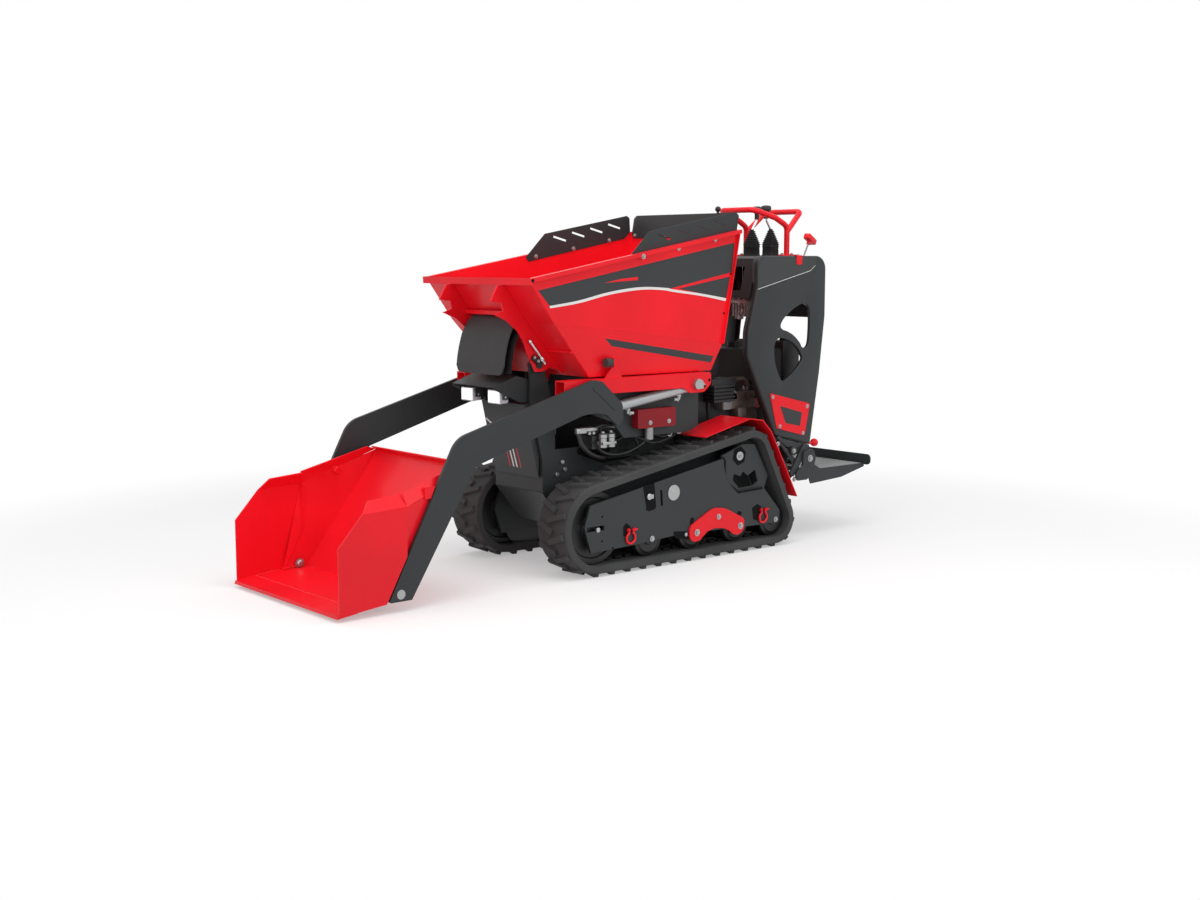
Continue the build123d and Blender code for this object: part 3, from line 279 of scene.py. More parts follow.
def spin_form(form, profile, place, direction, sides=24, start=0.0):
    """A turned or many-sided form: rings of (radius, height) along a direction from a place."""
    turn = Matrix.Translation(Vector(place)) @ Vector(direction).to_track_quat("Z", "Y").to_matrix().to_4x4()
    rings = []
    for radius, height in profile:
        angles = [start + 2 * math.pi * i / sides for i in range(sides if radius else 1)]
        rings.append([form.verts.new(turn @ Vector((radius * math.cos(a), radius * math.sin(a), height)))
                      for a in angles])
    skin_over(form, rings)


def make_piece(name, form, material, body="chassis", crease=38):
    """Turns a finished form, in millimetres, into a piece that rides on a body where one is given."""
    bmesh.ops.recalc_face_normals(form, faces=form.faces)
    bmesh.ops.scale(form, vec=(MM, MM, MM), verts=form.verts)
    for face in form.faces:
        face.smooth = True
    for edge in form.edges:
        if len(edge.link_faces) == 2 and edge.calc_face_angle(0) > math.radians(crease):
            edge.smooth = False
    mesh = bpy.data.meshes.new(name)
    form.to_mesh(mesh)
    form.free()
    mesh.materials.append(material)
    piece = bpy.data.objects.new(name, mesh)
    scene.collection.objects.link(piece)
    if body:
        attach(piece, body)
    return piece


zinc = coat("zinc_plate", (0.42, 0.43, 0.43), 0.3, metal=0.85, peel=0.15, shade=0.12)


def make_plated(name, form, body="chassis"):
    """Zinc plated steel with crisp edges, such as bolts and fittings."""
    make_piece(name, form, zinc, body, crease=28)


def add_bolt(form, place, direction, size=7.0):
    """Washer, undercut neck, chamfered hexagon head and the dimple in its top."""
    washer = [(1.7 * size, 0), (1.75 * size, 0.4), (1.75 * size, 1.6), (1.6 * size, 2.1), (0.95 * size, 2.1)]
    spin_form(form, washer, place, direction)
    spin_form(form, [(size * 0.9, 2), (size * 0.9, 3)], place, direction)
    head = [(size * 0.98, 3), (size * 1.08, 3.6), (size * 1.08, size * 0.95), (size * 0.88, size * 1.15),
            (size * 0.6, size * 1.15), (size * 0.46, size * 0.98), (0, size * 0.98)]
    spin_form(form, head, place, direction, sides=6)


BUCKET_PIN, UPPER_PIN = (1204, 66), (1024, 424)
PIN_END, UPPER_PIN_END = 352, 365
PIN_CAP = [(19, 0), (20, 1), (20, 3), (16, 4), (16, 9), (13, 13), (7, 15), (0, 15.5)]
PIN_COVER = [(19, 0), (20, 1), (19, 3), (14, 4), (14, 15), (12, 17.5), (0, 18)]
for side, sign in SIDES:
    cap = bmesh.new()
    spin_form(cap, PIN_CAP, (BUCKET_PIN[0], sign * PIN_END, BUCKET_PIN[1]), (0, -sign, 0))
    make_piece(f"bucket_pin_caps_{side}", cap, zinc, "loader")
    cover = bmesh.new()
    spin_form(cover, PIN_COVER, (UPPER_PIN[0], sign * UPPER_PIN_END, UPPER_PIN[1]), (0, -sign, 0))
    make_piece(f"bucket_upper_pin_cover_{side}", cover, red_coat, "loader")


# Bucket welds: beads of overlapping scales, painted over with the bucket. One crosses behind the
# cutting edge, and two run along the foot of each side plate.
SIDE_WELDS = (((1382, 384, 36), (1275, 384, 46)), ((1270, 365, 50), (1184, 352, 58)))
FRONT_WELD, SIDE_BEAD, FRONT_BEAD = ((1384, -380, 38), (1384, 380, 38)), 3, 2.6


def add_bead(form, start, end, radius):
    """A weld bead: a low run of overlapping scales."""
    start, end = Vector(start), Vector(end)
    run = end - start
    count = max(2, int(run.length / (radius * 1.1)))
    for i in range(count):
        scale = [(radius * 0.2, -radius), (radius, 0), (radius * 0.2, radius)]
        spin_form(form, scale, start + run * ((i + 0.5) / count), run, sides=6)


beads = bmesh.new()
for sign in (1, -1):
    for (x1, y1, z1), (x2, y2, z2) in SIDE_WELDS:
        add_bead(beads, (x1, sign * y1, z1), (x2, sign * y2, z2), SIDE_BEAD)
add_bead(beads, *FRONT_WELD, FRONT_BEAD)
make_piece("bucket_weld_beads", beads, red_coat, "loader")


# Loader arms: laser-cut 14 mm plate in satin charcoal powder coat, bent along the front.
# The rear end has thin relief cuts round the pivot boss, drawn as lines of painted shade, and the bucket pin
# a plated cap.
CHARCOAL = (0.030, 0.034, 0.036)
dark_coat = coat("charcoal_powder_coat", CHARCOAL, 0.46, level=0.32, peel=0.35, shade=0.1)
shadow_black = coat("shadow_black", (0.006, 0.006, 0.007), 0.7, level=0.1)
dress(pair("loader_arm"), dark_coat, edge=1.6)
ARM_SLIT_SHADE = (
    [(301, 767), (296, 752), (287, 748), (278, 744)],
    [(277, 742), (236, 708), (189, 668)],
    [(243, 656), (222, 648)],
)


def add_groove(form, line, width, lift, side):
    """A flat black line of painted shade on the outer face of an upright plate, standing for a cut."""
    for (x1, z1), (x2, z2) in zip(line, line[1:]):
        run = Vector((x2 - x1, z2 - z1)).normalized() * width / 2
        across = Vector((-run.y, run.x))
        corners = ((x1, z1, -1, -1), (x2, z2, -1, 1), (x2, z2, 1, 1), (x1, z1, 1, -1))
        form.faces.new([form.verts.new((x + w * across.x + e * run.x, side * lift,
                                        z + w * across.y + e * run.y)) for x, z, w, e in corners])


SLIT_WIDTH, SLIT_LIFT, ARM_CAP_SUNK = 2.6, 0.06, 0.6
ARM_CAP = [(19, 0), (19, 0.4), (17, 0.7), (0, 0.7)]
ARM_CAP_HEXAGON = [(9, 0), (9, 0.3), (0, 0.3)]
arm_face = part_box("loader_arm_left")[1][1] / MM
for side, sign in SIDES:
    slit_shade = bmesh.new()
    # The relief cuts are black film lines of painted shade.
    for line in ARM_SLIT_SHADE:
        add_groove(slit_shade, line, SLIT_WIDTH, arm_face + SLIT_LIFT, sign)
    make_piece(f"arm_relief_cut_shade_{side}", slit_shade, shadow_black, "loader")
    caps = bmesh.new()
    x, z = BUCKET_PIN
    spin_form(caps, ARM_CAP, (x, sign * (arm_face - ARM_CAP_SUNK), z), (0, sign, 0), sides=32)
    spin_form(caps, ARM_CAP_HEXAGON, (x, sign * arm_face, z), (0, sign, 0), sides=6)
    make_piece(f"arm_pin_caps_{side}", caps, zinc, "loader")


# Hopper: 4 mm red plate, its sides bent inward low down, with a rolled rim and rear flanges.
# A printed film in charcoal and white runs along each side, and the plate is otherwise bare.
dress(["hopper", "hopper_ribs"], red_coat)
film_dark = coat("charcoal_film", (0.032, 0.036, 0.038), 0.38, level=0.35, peel=0.08, shade=0.06)
film_white = coat("white_film", (0.82, 0.82, 0.80), 0.35, level=0.35, peel=0.08, shade=0.03)
film_red = coat("red_film", RED, 0.36, level=0.35, peel=0.08, shade=0.05)
FILM, FILM_BACK = 0.3, 0.05
BAND = [(538, 1149), (-522, 1338), (-507, 1213), (-122, 1143)]
BAND_TAIL = [(-197, 1147), (-497, 1195)]
SWEEP_TOP = [(483, 1089), (336, 1108), (177, 1139), (13, 1156), (-126, 1151), (-169, 1144), (-334, 1124),
             (-475, 1103)]
SWEEP_LOW = [(480, 1080), (336, 1097), (177, 1128), (13, 1145), (-110, 1142), (-169, 1134), (-334, 1114),
             (-471, 1091)]
SWEEP_SPLIT, SWEEP_STEPS = 4, 6
THIN_STRIPE = [(207, 1174), (118, 1190), (28, 1197), (30, 1184), (118, 1180)]
LOW_BAND = [(199, 955), (-410, 859), (-396, 832), (161, 922)]
EDGE_PLUGS = ((578, 1187, 7), (-501, 1206, 5), (-462, 1040, 5))


def smooth_run(points, steps):
    """Points of a smooth curve through all but the first and last of some points."""
    line = []
    for a, b, c, d in zip(points, points[1:], points[2:], points[3:]):
        bend, twist = a * 2 - b * 5 + c * 4 - d, b * 3 - a - c * 3 + d
        for t in (i / steps for i in range(steps)):
            line.append((b * 2 + (c - a) * t + bend * t ** 2 + twist * t ** 3) / 2)
    return line


def even_curve(points, steps=SWEEP_STEPS):
    """A smooth line through a few points."""
    points = [Vector(p) for p in points]
    return smooth_run([points[0] * 2 - points[1], *points, points[-1] * 2 - points[-2]], steps) + [points[-1]]


def lay_film(form, landings, lift=FILM):
    """A thin film over the places where its corners land on a plate."""
    skin_over(form, [[form.verts.new(hit + normal * rise) for hit, normal in landings]
                     for rise in (FILM_BACK, lift)])


def add_film(form, outline, node, sign, lift=FILM):
    """A thin film laid point by point on the outside of a side plate."""
    lay_film(form, [land(node, (x, 0, z), (0, -sign, 0)) for x, z in outline], lift)


def add_film_strip(form, upper, lower, sign, lift=FILM):
    """A long curved film on the hopper as a run of short ones, so that it stays flat on the plate."""
    for i in range(len(upper) - 1):
        add_film(form, [upper[i], upper[i + 1], lower[i + 1], lower[i]], "hopper", sign, lift)


sweep_top, sweep_low = even_curve(SWEEP_TOP), even_curve(SWEEP_LOW)
front_edge = sweep_top[:SWEEP_SPLIT * SWEEP_STEPS + 1]
band_slope = (BAND[1][1] - BAND[0][1]) / (BAND[0][0] - BAND[1][0])
band_top = [BAND[0], *((x, BAND[0][1] + band_slope * (BAND[0][0] - x)) for x, _ in front_edge[1:])]
for side, sign in SIDES:
    graphic = bmesh.new()
    add_film_strip(graphic, band_top, front_edge, sign)
    for outline in ([band_top[-1], *BAND[1:], front_edge[-1]], [*BAND_TAIL, *SWEEP_TOP[:-3:-1]], LOW_BAND):
        add_film(graphic, outline, "hopper", sign)
    make_piece(f"side_graphic_{side}", graphic, film_dark, "hopper")
    sweep = bmesh.new()
    add_film_strip(sweep, sweep_top, sweep_low, sign, FILM + FILM_BACK)
    make_piece(f"side_sweep_line_{side}", sweep, film_white, "hopper")
    stripe = bmesh.new()
    add_film(stripe, THIN_STRIPE, "hopper", sign, FILM * 2)
    make_piece(f"side_thin_stripe_{side}", stripe, film_red, "hopper")
    plugs = bmesh.new()
    for x, z, radius in EDGE_PLUGS:
        plug = [(radius, 0), (radius, 0.8), (radius - 1.5, 1.6), (0, 1.6)]
        spin_form(plugs, plug, land_beside("hopper", x, z, sign), (0, sign, 0), 20)
    make_piece(f"hopper_edge_plugs_{side}", plugs, shadow_black, "hopper")


# Hopper extension panels: 3 mm charcoal sheet, slotted along the front, bolted inside the rim.
# The rear panel has a black ball stop on its top edge.
dress(["hopper_panel_left", "hopper_panel_right", "hopper_panel_rear"], dark_coat, edge=0.7)
RIM_BOLTS = ((15, 1279), (-197, 1314), (-407, 1352))
REAR_BOLTS_Y, REAR_BOLTS_Z = (-314, -105, 105, 314), 1376
BALL_STOP_X, BALL_STOP_Y, BALL_STOP_SUNK = -558, 208, 0.5
BALL_STOP = [(6, 0), (6, 6), (9, 8), (12, 12), (13, 17), (12, 22), (9, 26), (4, 29), (0, 29)]
for side, sign in SIDES:
    rim = bmesh.new()
    for x, z in RIM_BOLTS:
        add_bolt(rim, land_beside("hopper", x, z, sign), (0, sign, 0), 6)
        add_bolt(rim, land_beside(f"hopper_panel_{side}", x, z, -sign), (0, -sign, 0), 6)
    make_plated(f"panel_bolts_{side}", rim, "hopper")
panel_rear = bmesh.new()
for y in REAR_BOLTS_Y:
    add_bolt(panel_rear, land("hopper_panel_rear", (0, y, REAR_BOLTS_Z), (-1, 0, 0))[0], (1, 0, 0), 6)
make_plated("rear_panel_bolts", panel_rear, "hopper")
black_plastic = coat("black_plastic", (0.014, 0.014, 0.015), 0.42, level=0.4, peel=0.4, grain=260)
panel_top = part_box("hopper_panel_rear")[1][2] / MM
ball_stop = bmesh.new()
spin_form(ball_stop, BALL_STOP, (BALL_STOP_X, BALL_STOP_Y, panel_top - BALL_STOP_SUNK), (0, 0, 1))
make_piece("rear_panel_ball_stop", ball_stop, black_plastic, "hopper")


# Tipping pivot: each folded rib carries a chromed lock rod on its outer side with a clamp low down,
# and a black cast latch block with its own two screws.
def add_line_tube(form, line, radius, sides=14):
    """A round bar or pipe along a line that already has its bends."""
    line = [Vector(p) for p in line]
    across = (line[1] - line[0]).orthogonal().normalized()
    rings = []
    for i, place in enumerate(line):
        run = (line[min(i + 1, len(line) - 1)] - line[max(i - 1, 0)]).normalized()
        across = (across - run * across.dot(run)).normalized()
        over = run.cross(across)
        rings.append([form.verts.new(place + (across * math.cos(a) + over * math.sin(a)) * radius)
                      for a in (2 * math.pi * k / sides for k in range(sides))])
    skin_over(form, rings)


def add_tube(form, points, radius, sides=12, steps=8):
    """A round bar, pipe or hose along a smooth line through a few points."""
    add_line_tube(form, even_curve(points, steps), radius, sides)


def add_box(form, low, high, round_by=0.0):
    """A block between two corners, its edges rounded where asked."""
    made = bmesh.ops.create_cube(form, size=1)["verts"]
    bmesh.ops.scale(form, vec=Vector(high) - Vector(low), verts=made)
    bmesh.ops.translate(form, vec=(Vector(low) + Vector(high)) / 2, verts=made)
    if round_by:
        edges = list({edge for corner in made for edge in corner.link_edges})
        bmesh.ops.bevel(form, geom=edges, offset=round_by, segments=2, affect="EDGES", profile=0.5)
    return made


def spun_box(form, low, high, round_by, about, angle, axis="Y"):
    """A rounded block turned about a point."""
    before = set(form.verts)
    add_box(form, low, high, round_by)
    made = [corner for corner in form.verts if corner not in before]
    bmesh.ops.rotate(form, verts=made, cent=about, matrix=Matrix.Rotation(math.radians(angle), 3, axis))


chrome = coat("hard_chrome", (0.72, 0.73, 0.74), 0.14, metal=1.0, peel=0.02, shade=0.04)
LOCK_TOP, LOCK_FOOT, LOCK_Y = (463, 952), (382, 854), 191
LATCH_BLOCK, LATCH_TURN = ((410, 178, 862), (446, 193, 884)), -40
LATCH_MIDDLE, LATCH_SCREWS, LATCH_FACE = (428, 0, 873), ((419, 866), (437, 881)), 192.8
LOCK_ROD, LOCK_CLAMP_AT, LOCK_NUT_AT = 5.5, 0.2, 0.93
LOCK_CLAMP, LOCK_NUT = [(9, -9), (10, -7), (10, 7), (9, 9)], [(8.5, -5), (9, -4), (9, 4), (8.5, 5)]


def mirrored(low, high, sign):
    """The corners of a block, on the left side as given or mirrored to the right."""
    near, far = sorted((sign * low[1], sign * high[1]))
    return (low[0], near, low[2]), (high[0], far, high[2])


for side, sign in SIDES:
    foot = Vector((LOCK_FOOT[0], sign * LOCK_Y, LOCK_FOOT[1]))
    along = Vector((LOCK_TOP[0], sign * LOCK_Y, LOCK_TOP[1])) - foot
    rod = bmesh.new()
    add_line_tube(rod, [foot, foot + along], LOCK_ROD)
    spin_form(rod, LOCK_NUT, foot + along * LOCK_NUT_AT, along, sides=6)
    spin_form(rod, LOCK_CLAMP, foot + along * LOCK_CLAMP_AT, along, sides=20)
    make_piece(f"hopper_lock_rod_{side}", rod, chrome, "hopper")
    block = bmesh.new()
    spun_box(block, *mirrored(*LATCH_BLOCK, sign), 3, LATCH_MIDDLE, LATCH_TURN)
    make_piece(f"hopper_latch_block_{side}", block, black_plastic, "hopper")
    screws = bmesh.new()
    for x, z in LATCH_SCREWS:
        add_bolt(screws, (x, sign * LATCH_FACE, z), (0, sign, 0), 3.6)
    make_plated(f"hopper_latch_screws_{side}", screws, "hopper")


# Rubber flap: 6 mm ribbed rubber sheet bolted under the crease of the front wall by a steel strip.
# It bows forward between the ribs and hangs over the lamps, its lower corners cut round.
# A thinner smooth sheet hangs behind it, painted near black as the shade behind the flap.
rubber = coat("ribbed_rubber", (0.060, 0.060, 0.061), 0.72, level=0.25, peel=0.8, grain=180, shade=0.15)
FLAP_LINE = [(475, 1040), (486, 1032), (508, 1009), (531, 974), (546, 930), (557, 884), (562, 846),
             (564, 812)]
FLAP_HALF, FLAP_SHEET, FLAP_CORNER = 160, 6, 34
FLAP_COLUMNS, FLAP_BOW, INNER_SHEET = 32, 5, 4
INNER_LINE, INNER_HALF = [(476, 1006), (500, 972), (519, 930), (530, 884), (534, 846), (536, 818)], 172
flap_line = even_curve(FLAP_LINE, 5)
flap = bmesh.new()
faces_of_flap = []
for sheet in (0, FLAP_SHEET):
    rows = []
    for k, place in enumerate(flap_line):
        run = (flap_line[min(k + 1, len(flap_line) - 1)] - flap_line[max(k - 1, 0)]).normalized()
        out = Vector((-run.y, run.x)) * sheet
        row = []
        for i in range(FLAP_COLUMNS + 1):
            share = i / FLAP_COLUMNS * 2 - 1
            y = FLAP_HALF * share
            past = max(0.0, abs(y) - (FLAP_HALF - FLAP_CORNER))
            lift = FLAP_CORNER - math.sqrt(max(0.0, FLAP_CORNER ** 2 - past ** 2))
            z = max(place.y + out.y, FLAP_LINE[-1][1] + lift)
            bow = FLAP_BOW * (1 - share * share) * k / len(flap_line)
            row.append(flap.verts.new((place.x + out.x + bow, y, z)))
        rows.append(row)
    faces_of_flap.append(rows)
for rows in faces_of_flap:
    for low, high in zip(rows, rows[1:]):
        for i in range(FLAP_COLUMNS):
            flap.faces.new([low[i], low[i + 1], high[i + 1], high[i]])
rims = [[*rows[0], *(row[-1] for row in rows[1:-1]), *reversed(rows[-1]), *(row[0] for row in rows[-2:0:-1])]
        for rows in faces_of_flap]
for i in range(len(rims[0])):
    flap.faces.new([rims[0][i - 1], rims[0][i], rims[1][i], rims[1][i - 1]])
bmesh.ops.remove_doubles(flap, verts=flap.verts, dist=0.01)
flap_piece = make_piece("rubber_flap", flap, rubber, None, crease=50)
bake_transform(flap_piece)
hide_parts("rubber_apron")
inner_flap = bmesh.new()
skin_over(inner_flap, [[inner_flap.verts.new((p.x + lift, y, p.y)) for lift, y in (
    (0, -INNER_HALF), (0, INNER_HALF), (INNER_SHEET, INNER_HALF), (INNER_SHEET, -INNER_HALF))]
    for p in even_curve(INNER_LINE, 4)])
# Near black, far darker than the flap's rubber: painted shade.
inner_rubber_painted_shade = coat("inner_rubber_painted_shade", (0.014, 0.014, 0.014), 0.75, level=0.2, peel=0.8, grain=180)
inner_piece = make_piece("rubber_flap_inner", inner_flap, inner_rubber_painted_shade, None, crease=50)
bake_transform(inner_piece)


# Side rails: welded channel in red, with a bright lock plate near the rear end.
# Lift cylinders: grey painted tube with a chromed rod; the arms rest on moulded rubber buffers.
dress(pair("side_rail"), red_coat)
barrel_grey = coat("cylinder_grey", (0.42, 0.44, 0.45), 0.36, metal=0.55, peel=0.15, shade=0.08)
dress(pair("lift_barrel"), barrel_grey, edge=0.8)
dress(pair("lift_rod") + ["tip_rod"], chrome, edge=0.6)
dress(["tip_barrel"], dark_coat, edge=0.8)
dress(pair("arm_buffer"), rubber, edge=2)
LOCK_PLATE = [(-259, 751, 16), (-280, 775, 20), (-304, 763, 20), (-326, 738, 7), (-306, 730, 12),
              (-270, 726, 18)]
PATCH_BACK, STRAIGHT = 0.04, 0.03
LOCK_PLATE_AT, PLATE_HOLE, RAIL_HOLE = (-330, 770), (-316, 738), (-361, 761)
RAIL_FACE, REST_BEAM = 384.8, ((-330, 214, 730), (170, 226, 799))


def add_plate(form, outline, place, direction, thickness):
    """A flat plate: an outline in X and Z, standing on a side face and reaching outward."""
    skin_over(form, [[form.verts.new((x, place + direction * rise, z)) for x, z in outline]
                     for rise in (thickness, 0)])


def round_corner(before, here, after, radius, steps):
    """The arc in place of a line's corner, or the corner itself where the line is nearly straight."""
    back, on = (before - here).normalized(), (after - here).normalized()
    half = back.angle(on) / 2
    reach = min(radius / math.tan(half), (before - here).length * 0.49, (after - here).length * 0.49)
    middle = here + (back + on).normalized() * reach / math.cos(half)
    start, end = here + back * reach - middle, here + on * reach - middle
    sweep = math.pi - 2 * half
    if sweep < STRAIGHT:
        return [here]
    return [middle + (start * math.sin((1 - t) * sweep) + end * math.sin(t * sweep)) / math.sin(sweep)
            for t in (k / steps for k in range(steps + 1))]


def bent_outline(corners, steps=8):
    """A closed outline from corners, each rounded by its own radius."""
    line = []
    for i, (x, z, radius) in enumerate(corners):
        before, after = Vector(corners[i - 1][:2]), Vector(corners[(i + 1) % len(corners)][:2])
        line += round_corner(before, Vector((x, z)), after, radius, steps)
    return line


def add_shade_patch(form, outline, place, direction, lift=0.2):
    """Painted shade in an opening: a thin black plate just proud of a face."""
    add_plate(form, bent_outline(outline, 4), place + direction * PATCH_BACK, direction, lift)


for side, sign in SIDES:
    rail = land_beside(f"side_rail_{side}", *LOCK_PLATE_AT, sign)
    lock_plate = bmesh.new()
    add_plate(lock_plate, bent_outline(LOCK_PLATE), rail.y, sign, RAIL_FACE - abs(rail.y))
    make_piece(f"rail_lock_plate_{side}", lock_plate, zinc)
    # Black discs of painted shade in the holes of the lock plate and the rail.
    shaded_holes = bmesh.new()
    x, z = PLATE_HOLE
    spin_form(shaded_holes, [(6, 0), (6, 0.3), (0, 0.3)], (x, sign * RAIL_FACE, z), (0, sign, 0))
    hole = land_beside(f"side_rail_{side}", *RAIL_HOLE, sign)
    spin_form(shaded_holes, [(7, 0), (7, 0.3), (0, 0.3)], hole, (0, sign, 0))
    make_piece(f"rail_hole_shade_{side}", shaded_holes, shadow_black)
    rest = bmesh.new()
    add_box(rest, *mirrored(*REST_BEAM, sign), 2)
    make_piece(f"hopper_rest_beam_{side}", rest, dark_coat)


# Lift cylinder fittings: a plated elbow at each end of the barrel, foot nut, bend and hose collar,
# both turned toward the middle of the barrel.
BARREL_PORTS = ((71, -1, "rod_end"), (-213, 1, "base_end"))
BARREL_Y, BARREL_Z = 336, 600


def add_elbow(form, base, rise, turn, size=8.5):
    """A hydraulic elbow: hexagon foot, neck, bend, nut and hose collar."""
    base, rise, turn = Vector(base), Vector(rise).normalized(), Vector(turn).normalized()
    foot = [(size * 1.05, 0), (size * 1.15, 1), (size * 1.15, size * 0.9), (size * 0.95, size)]
    spin_form(form, foot, base, rise, sides=6)
    top = base + rise * size * 2.3
    bend = [base + rise * size * 0.8, top - rise * size * 0.3, top + turn * size * 0.8]
    add_tube(form, bend, size * 0.72, sides=14, steps=5)
    nut = [(size, 0), (size * 1.1, 1), (size * 1.1, size * 0.8), (size * 0.9, size)]
    collar = [(size * 0.85, size), (size * 0.9, size * 1.2), (size * 0.9, size * 2.6),
              (size * 0.7, size * 2.8)]
    spin_form(form, nut, top + turn * size * 0.6, turn, sides=6)
    spin_form(form, collar, top + turn * size * 0.6, turn, sides=18)


for side, sign in SIDES:
    for x, turn, label in BARREL_PORTS:
        elbow = bmesh.new()
        port, _ = land(f"lift_barrel_{side}", (x, sign * BARREL_Y, BARREL_Z), (0, 0, 1))
        add_elbow(elbow, port + Vector((0, 0, 1)), (0, 0, -1), (turn, 0, 0))
        make_plated(f"lift_fitting_{label}_{side}", elbow, f"lift_barrel_{side}")


# Valve guard: a folded red cover with two bolts over a canister filter in a cast head; its red is darkened as
# painted shade.
# The spool valve beside it is a dark casting with bright spool caps and a bright top plate, and its
# hoses lie before black sheets of painted shade on the sides of the tub.
# The cover's red is far darker than the bucket's red: painted shade.
guard_red_painted_shade = coat("guard_red_painted_shade", (0.25, 0.009, 0.015), 0.42, gloss=0.06, level=0.2)
dress(["valve_cover"], guard_red_painted_shade, edge=1)
metal_grey = coat("cast_alloy", (0.30, 0.31, 0.31), 0.42, metal=0.7, peel=0.6, grain=140, shade=0.15)
dress(["oil_filter"], metal_grey, edge=1.5)
valve_casting = coat("valve_casting", (0.045, 0.047, 0.05), 0.5, metal=0.3, peel=0.8, grain=120)
dress(["spool_valve"], valve_casting, edge=1)
hose_rubber = coat("hose_rubber", (0.020, 0.020, 0.021), 0.42, level=0.45, peel=0.4, grain=300)
GUARD_BOLTS = ((-49, 599), (-154, 599))
SPOOL_CAPS, BAY_NUTS = ((98, 262, 502), (142, 262, 502)), ((184, 246, 566), (206, 246, 566))
BAY_RINGS, BAY_BOLTS = ((-228, 534), (-283, 541)), ((276, 446), (263, 415), (304, 397))
RING_STUD_Y, RING_Y, TUB_SIDE_Y, BAY_SHADE_SHEET = 167, 262, 160, 0.6
SPOOL_CAP = [(15, 0), (19, 3), (19, 14), (17, 16), (17, 40), (19, 42), (19, 56), (15, 60), (8, 62), (8, 68),
             (0, 68)]
BAY_BLOCKS = (((84, 244, 516), (156, 282, 528), 2), ((216, 232, 566), (268, 252, 590), 4),
              ((158, 206, 572), (222, 250, 588), 3))
MANIFOLD_NUT = [(7, 0), (8, 1), (8, 9), (6, 11), (0, 11)]
RING_STUD, RING = [(6, 0), (6, 96)], [(11, -4), (13, -3), (13, 3), (11, 4), (8, 4), (8, -4), (11, -4)]
BAY_BOLT = [(9, 0), (10, 1), (10, 8), (8, 10), (0, 10)]
BAY_PAINTED_SHADE = [(170, 514, 8), (-420, 514, 8), (-400, 492, 10), (-232, 466, 20), (-80, 432, 20), (58, 422, 16),
             (205, 476, 14)]
BAY_HOSES = (
    (9, [(190, 236, 576), (120, 246, 596), (20, 250, 588), (-90, 252, 560),
         (-190, 250, 524), (-228, 258, 534)]),
    (8, [(184, 238, 530), (120, 246, 478), (30, 246, 466), (-60, 250, 490),
         (-150, 262, 546), (-200, 299, 590)]),
    (7, [(70, 240, 520), (10, 252, 540), (-60, 256, 528),
         (-140, 256, 500), (-240, 250, 516), (-283, 258, 541)]),
    (10, [(258, 242, 572), (240, 248, 520), (196, 250, 480),
          (130, 240, 458), (70, 205, 462), (20, 164, 480)]),
    (7, [(20, 299, 596), (-30, 258, 540), (-66, 246, 490), (-72, 205, 466), (-66, 164, 464)]))
guard = bmesh.new()
for x, z in GUARD_BOLTS:
    add_bolt(guard, land_beside("valve_cover", x, z, 1), (0, 1, 0), 5.5)
make_plated("valve_guard_bolts", guard)
caps = bmesh.new()
for place in SPOOL_CAPS:
    spin_form(caps, SPOOL_CAP, place, (0, 0, 1), 28)
for low, high, round_by in BAY_BLOCKS:
    add_box(caps, low, high, round_by)
for place in BAY_NUTS:
    spin_form(caps, MANIFOLD_NUT, place, (0, 1, 0), 6)
for x, z in BAY_RINGS:
    spin_form(caps, RING_STUD, (x, RING_STUD_Y, z), (0, 1, 0), 16)
    spin_form(caps, RING, (x, RING_Y, z), (0.3, 1, 0.1), 24)
for x, z in BAY_BOLTS:
    spin_form(caps, BAY_BOLT, land_beside("main_frame", x, z, 1), (0, 1, 0), 6)
make_plated("spool_caps", caps)
# Black sheets on the tub's sides: painted shade under the outrigger and the hopper.
bay_shade = bmesh.new()
for sign in (1, -1):
    add_shade_patch(bay_shade, BAY_PAINTED_SHADE, sign * TUB_SIDE_Y, sign, BAY_SHADE_SHEET)
make_piece("tub_side_painted_shade", bay_shade, shadow_black)
bay_hoses = bmesh.new()
for radius, points in BAY_HOSES:
    add_tube(bay_hoses, points, radius, sides=14, steps=7)
make_piece("valve_hoses", bay_hoses, hose_rubber)


# Undercarriage: welded box frame in charcoal on cast double-flange rollers, the middle two hung from a
# red laser-cut rocker plate; a large cast idler at the front, red forged tow bows, plated bolts.
dress(pair("undercarriage"), dark_coat, edge=1.2)
casting = coat("dark_casting", (0.013, 0.013, 0.014), 0.42, level=0.4, peel=0.7, grain=90, shade=0.2)
dress(pair("drive_sprocket"), casting, edge=1.2)
FRAME_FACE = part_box("undercarriage_left")[1][1] / MM
ROCKER = [(-240, 135, 6), (-251, 152, 10), (-368, 207, 20), (-392, 211, 14), (-440, 206, 14), (-463, 198, 20),
          (-560, 151, 12), (-567, 138, 8), (-567, 105, 8), (-551, 86, 14), (-525, 79, 20), (-500, 86, 16),
          (-474, 105, 30), (-434, 120, 30), (-384, 124, 30), (-344, 115, 30), (-320, 97, 20), (-300, 82, 16),
          (-271, 78, 18), (-249, 88, 14), (-240, 107, 10)]
ROCKER_BOLTS = ((-283, 117, 8.4), (-411, 171, 7), (-544, 117, 8.4))
FRAME_BOLTS = ((-32, 120, 7), (-773, 119, 7))
BOW = [(72, 172), (77, 160), (68, 147), (68, 132), (78, 120), (93, 116), (107, 122), (113, 136), (110, 150),
       (100, 160), (103, 172)]
BOW_STEP = -777
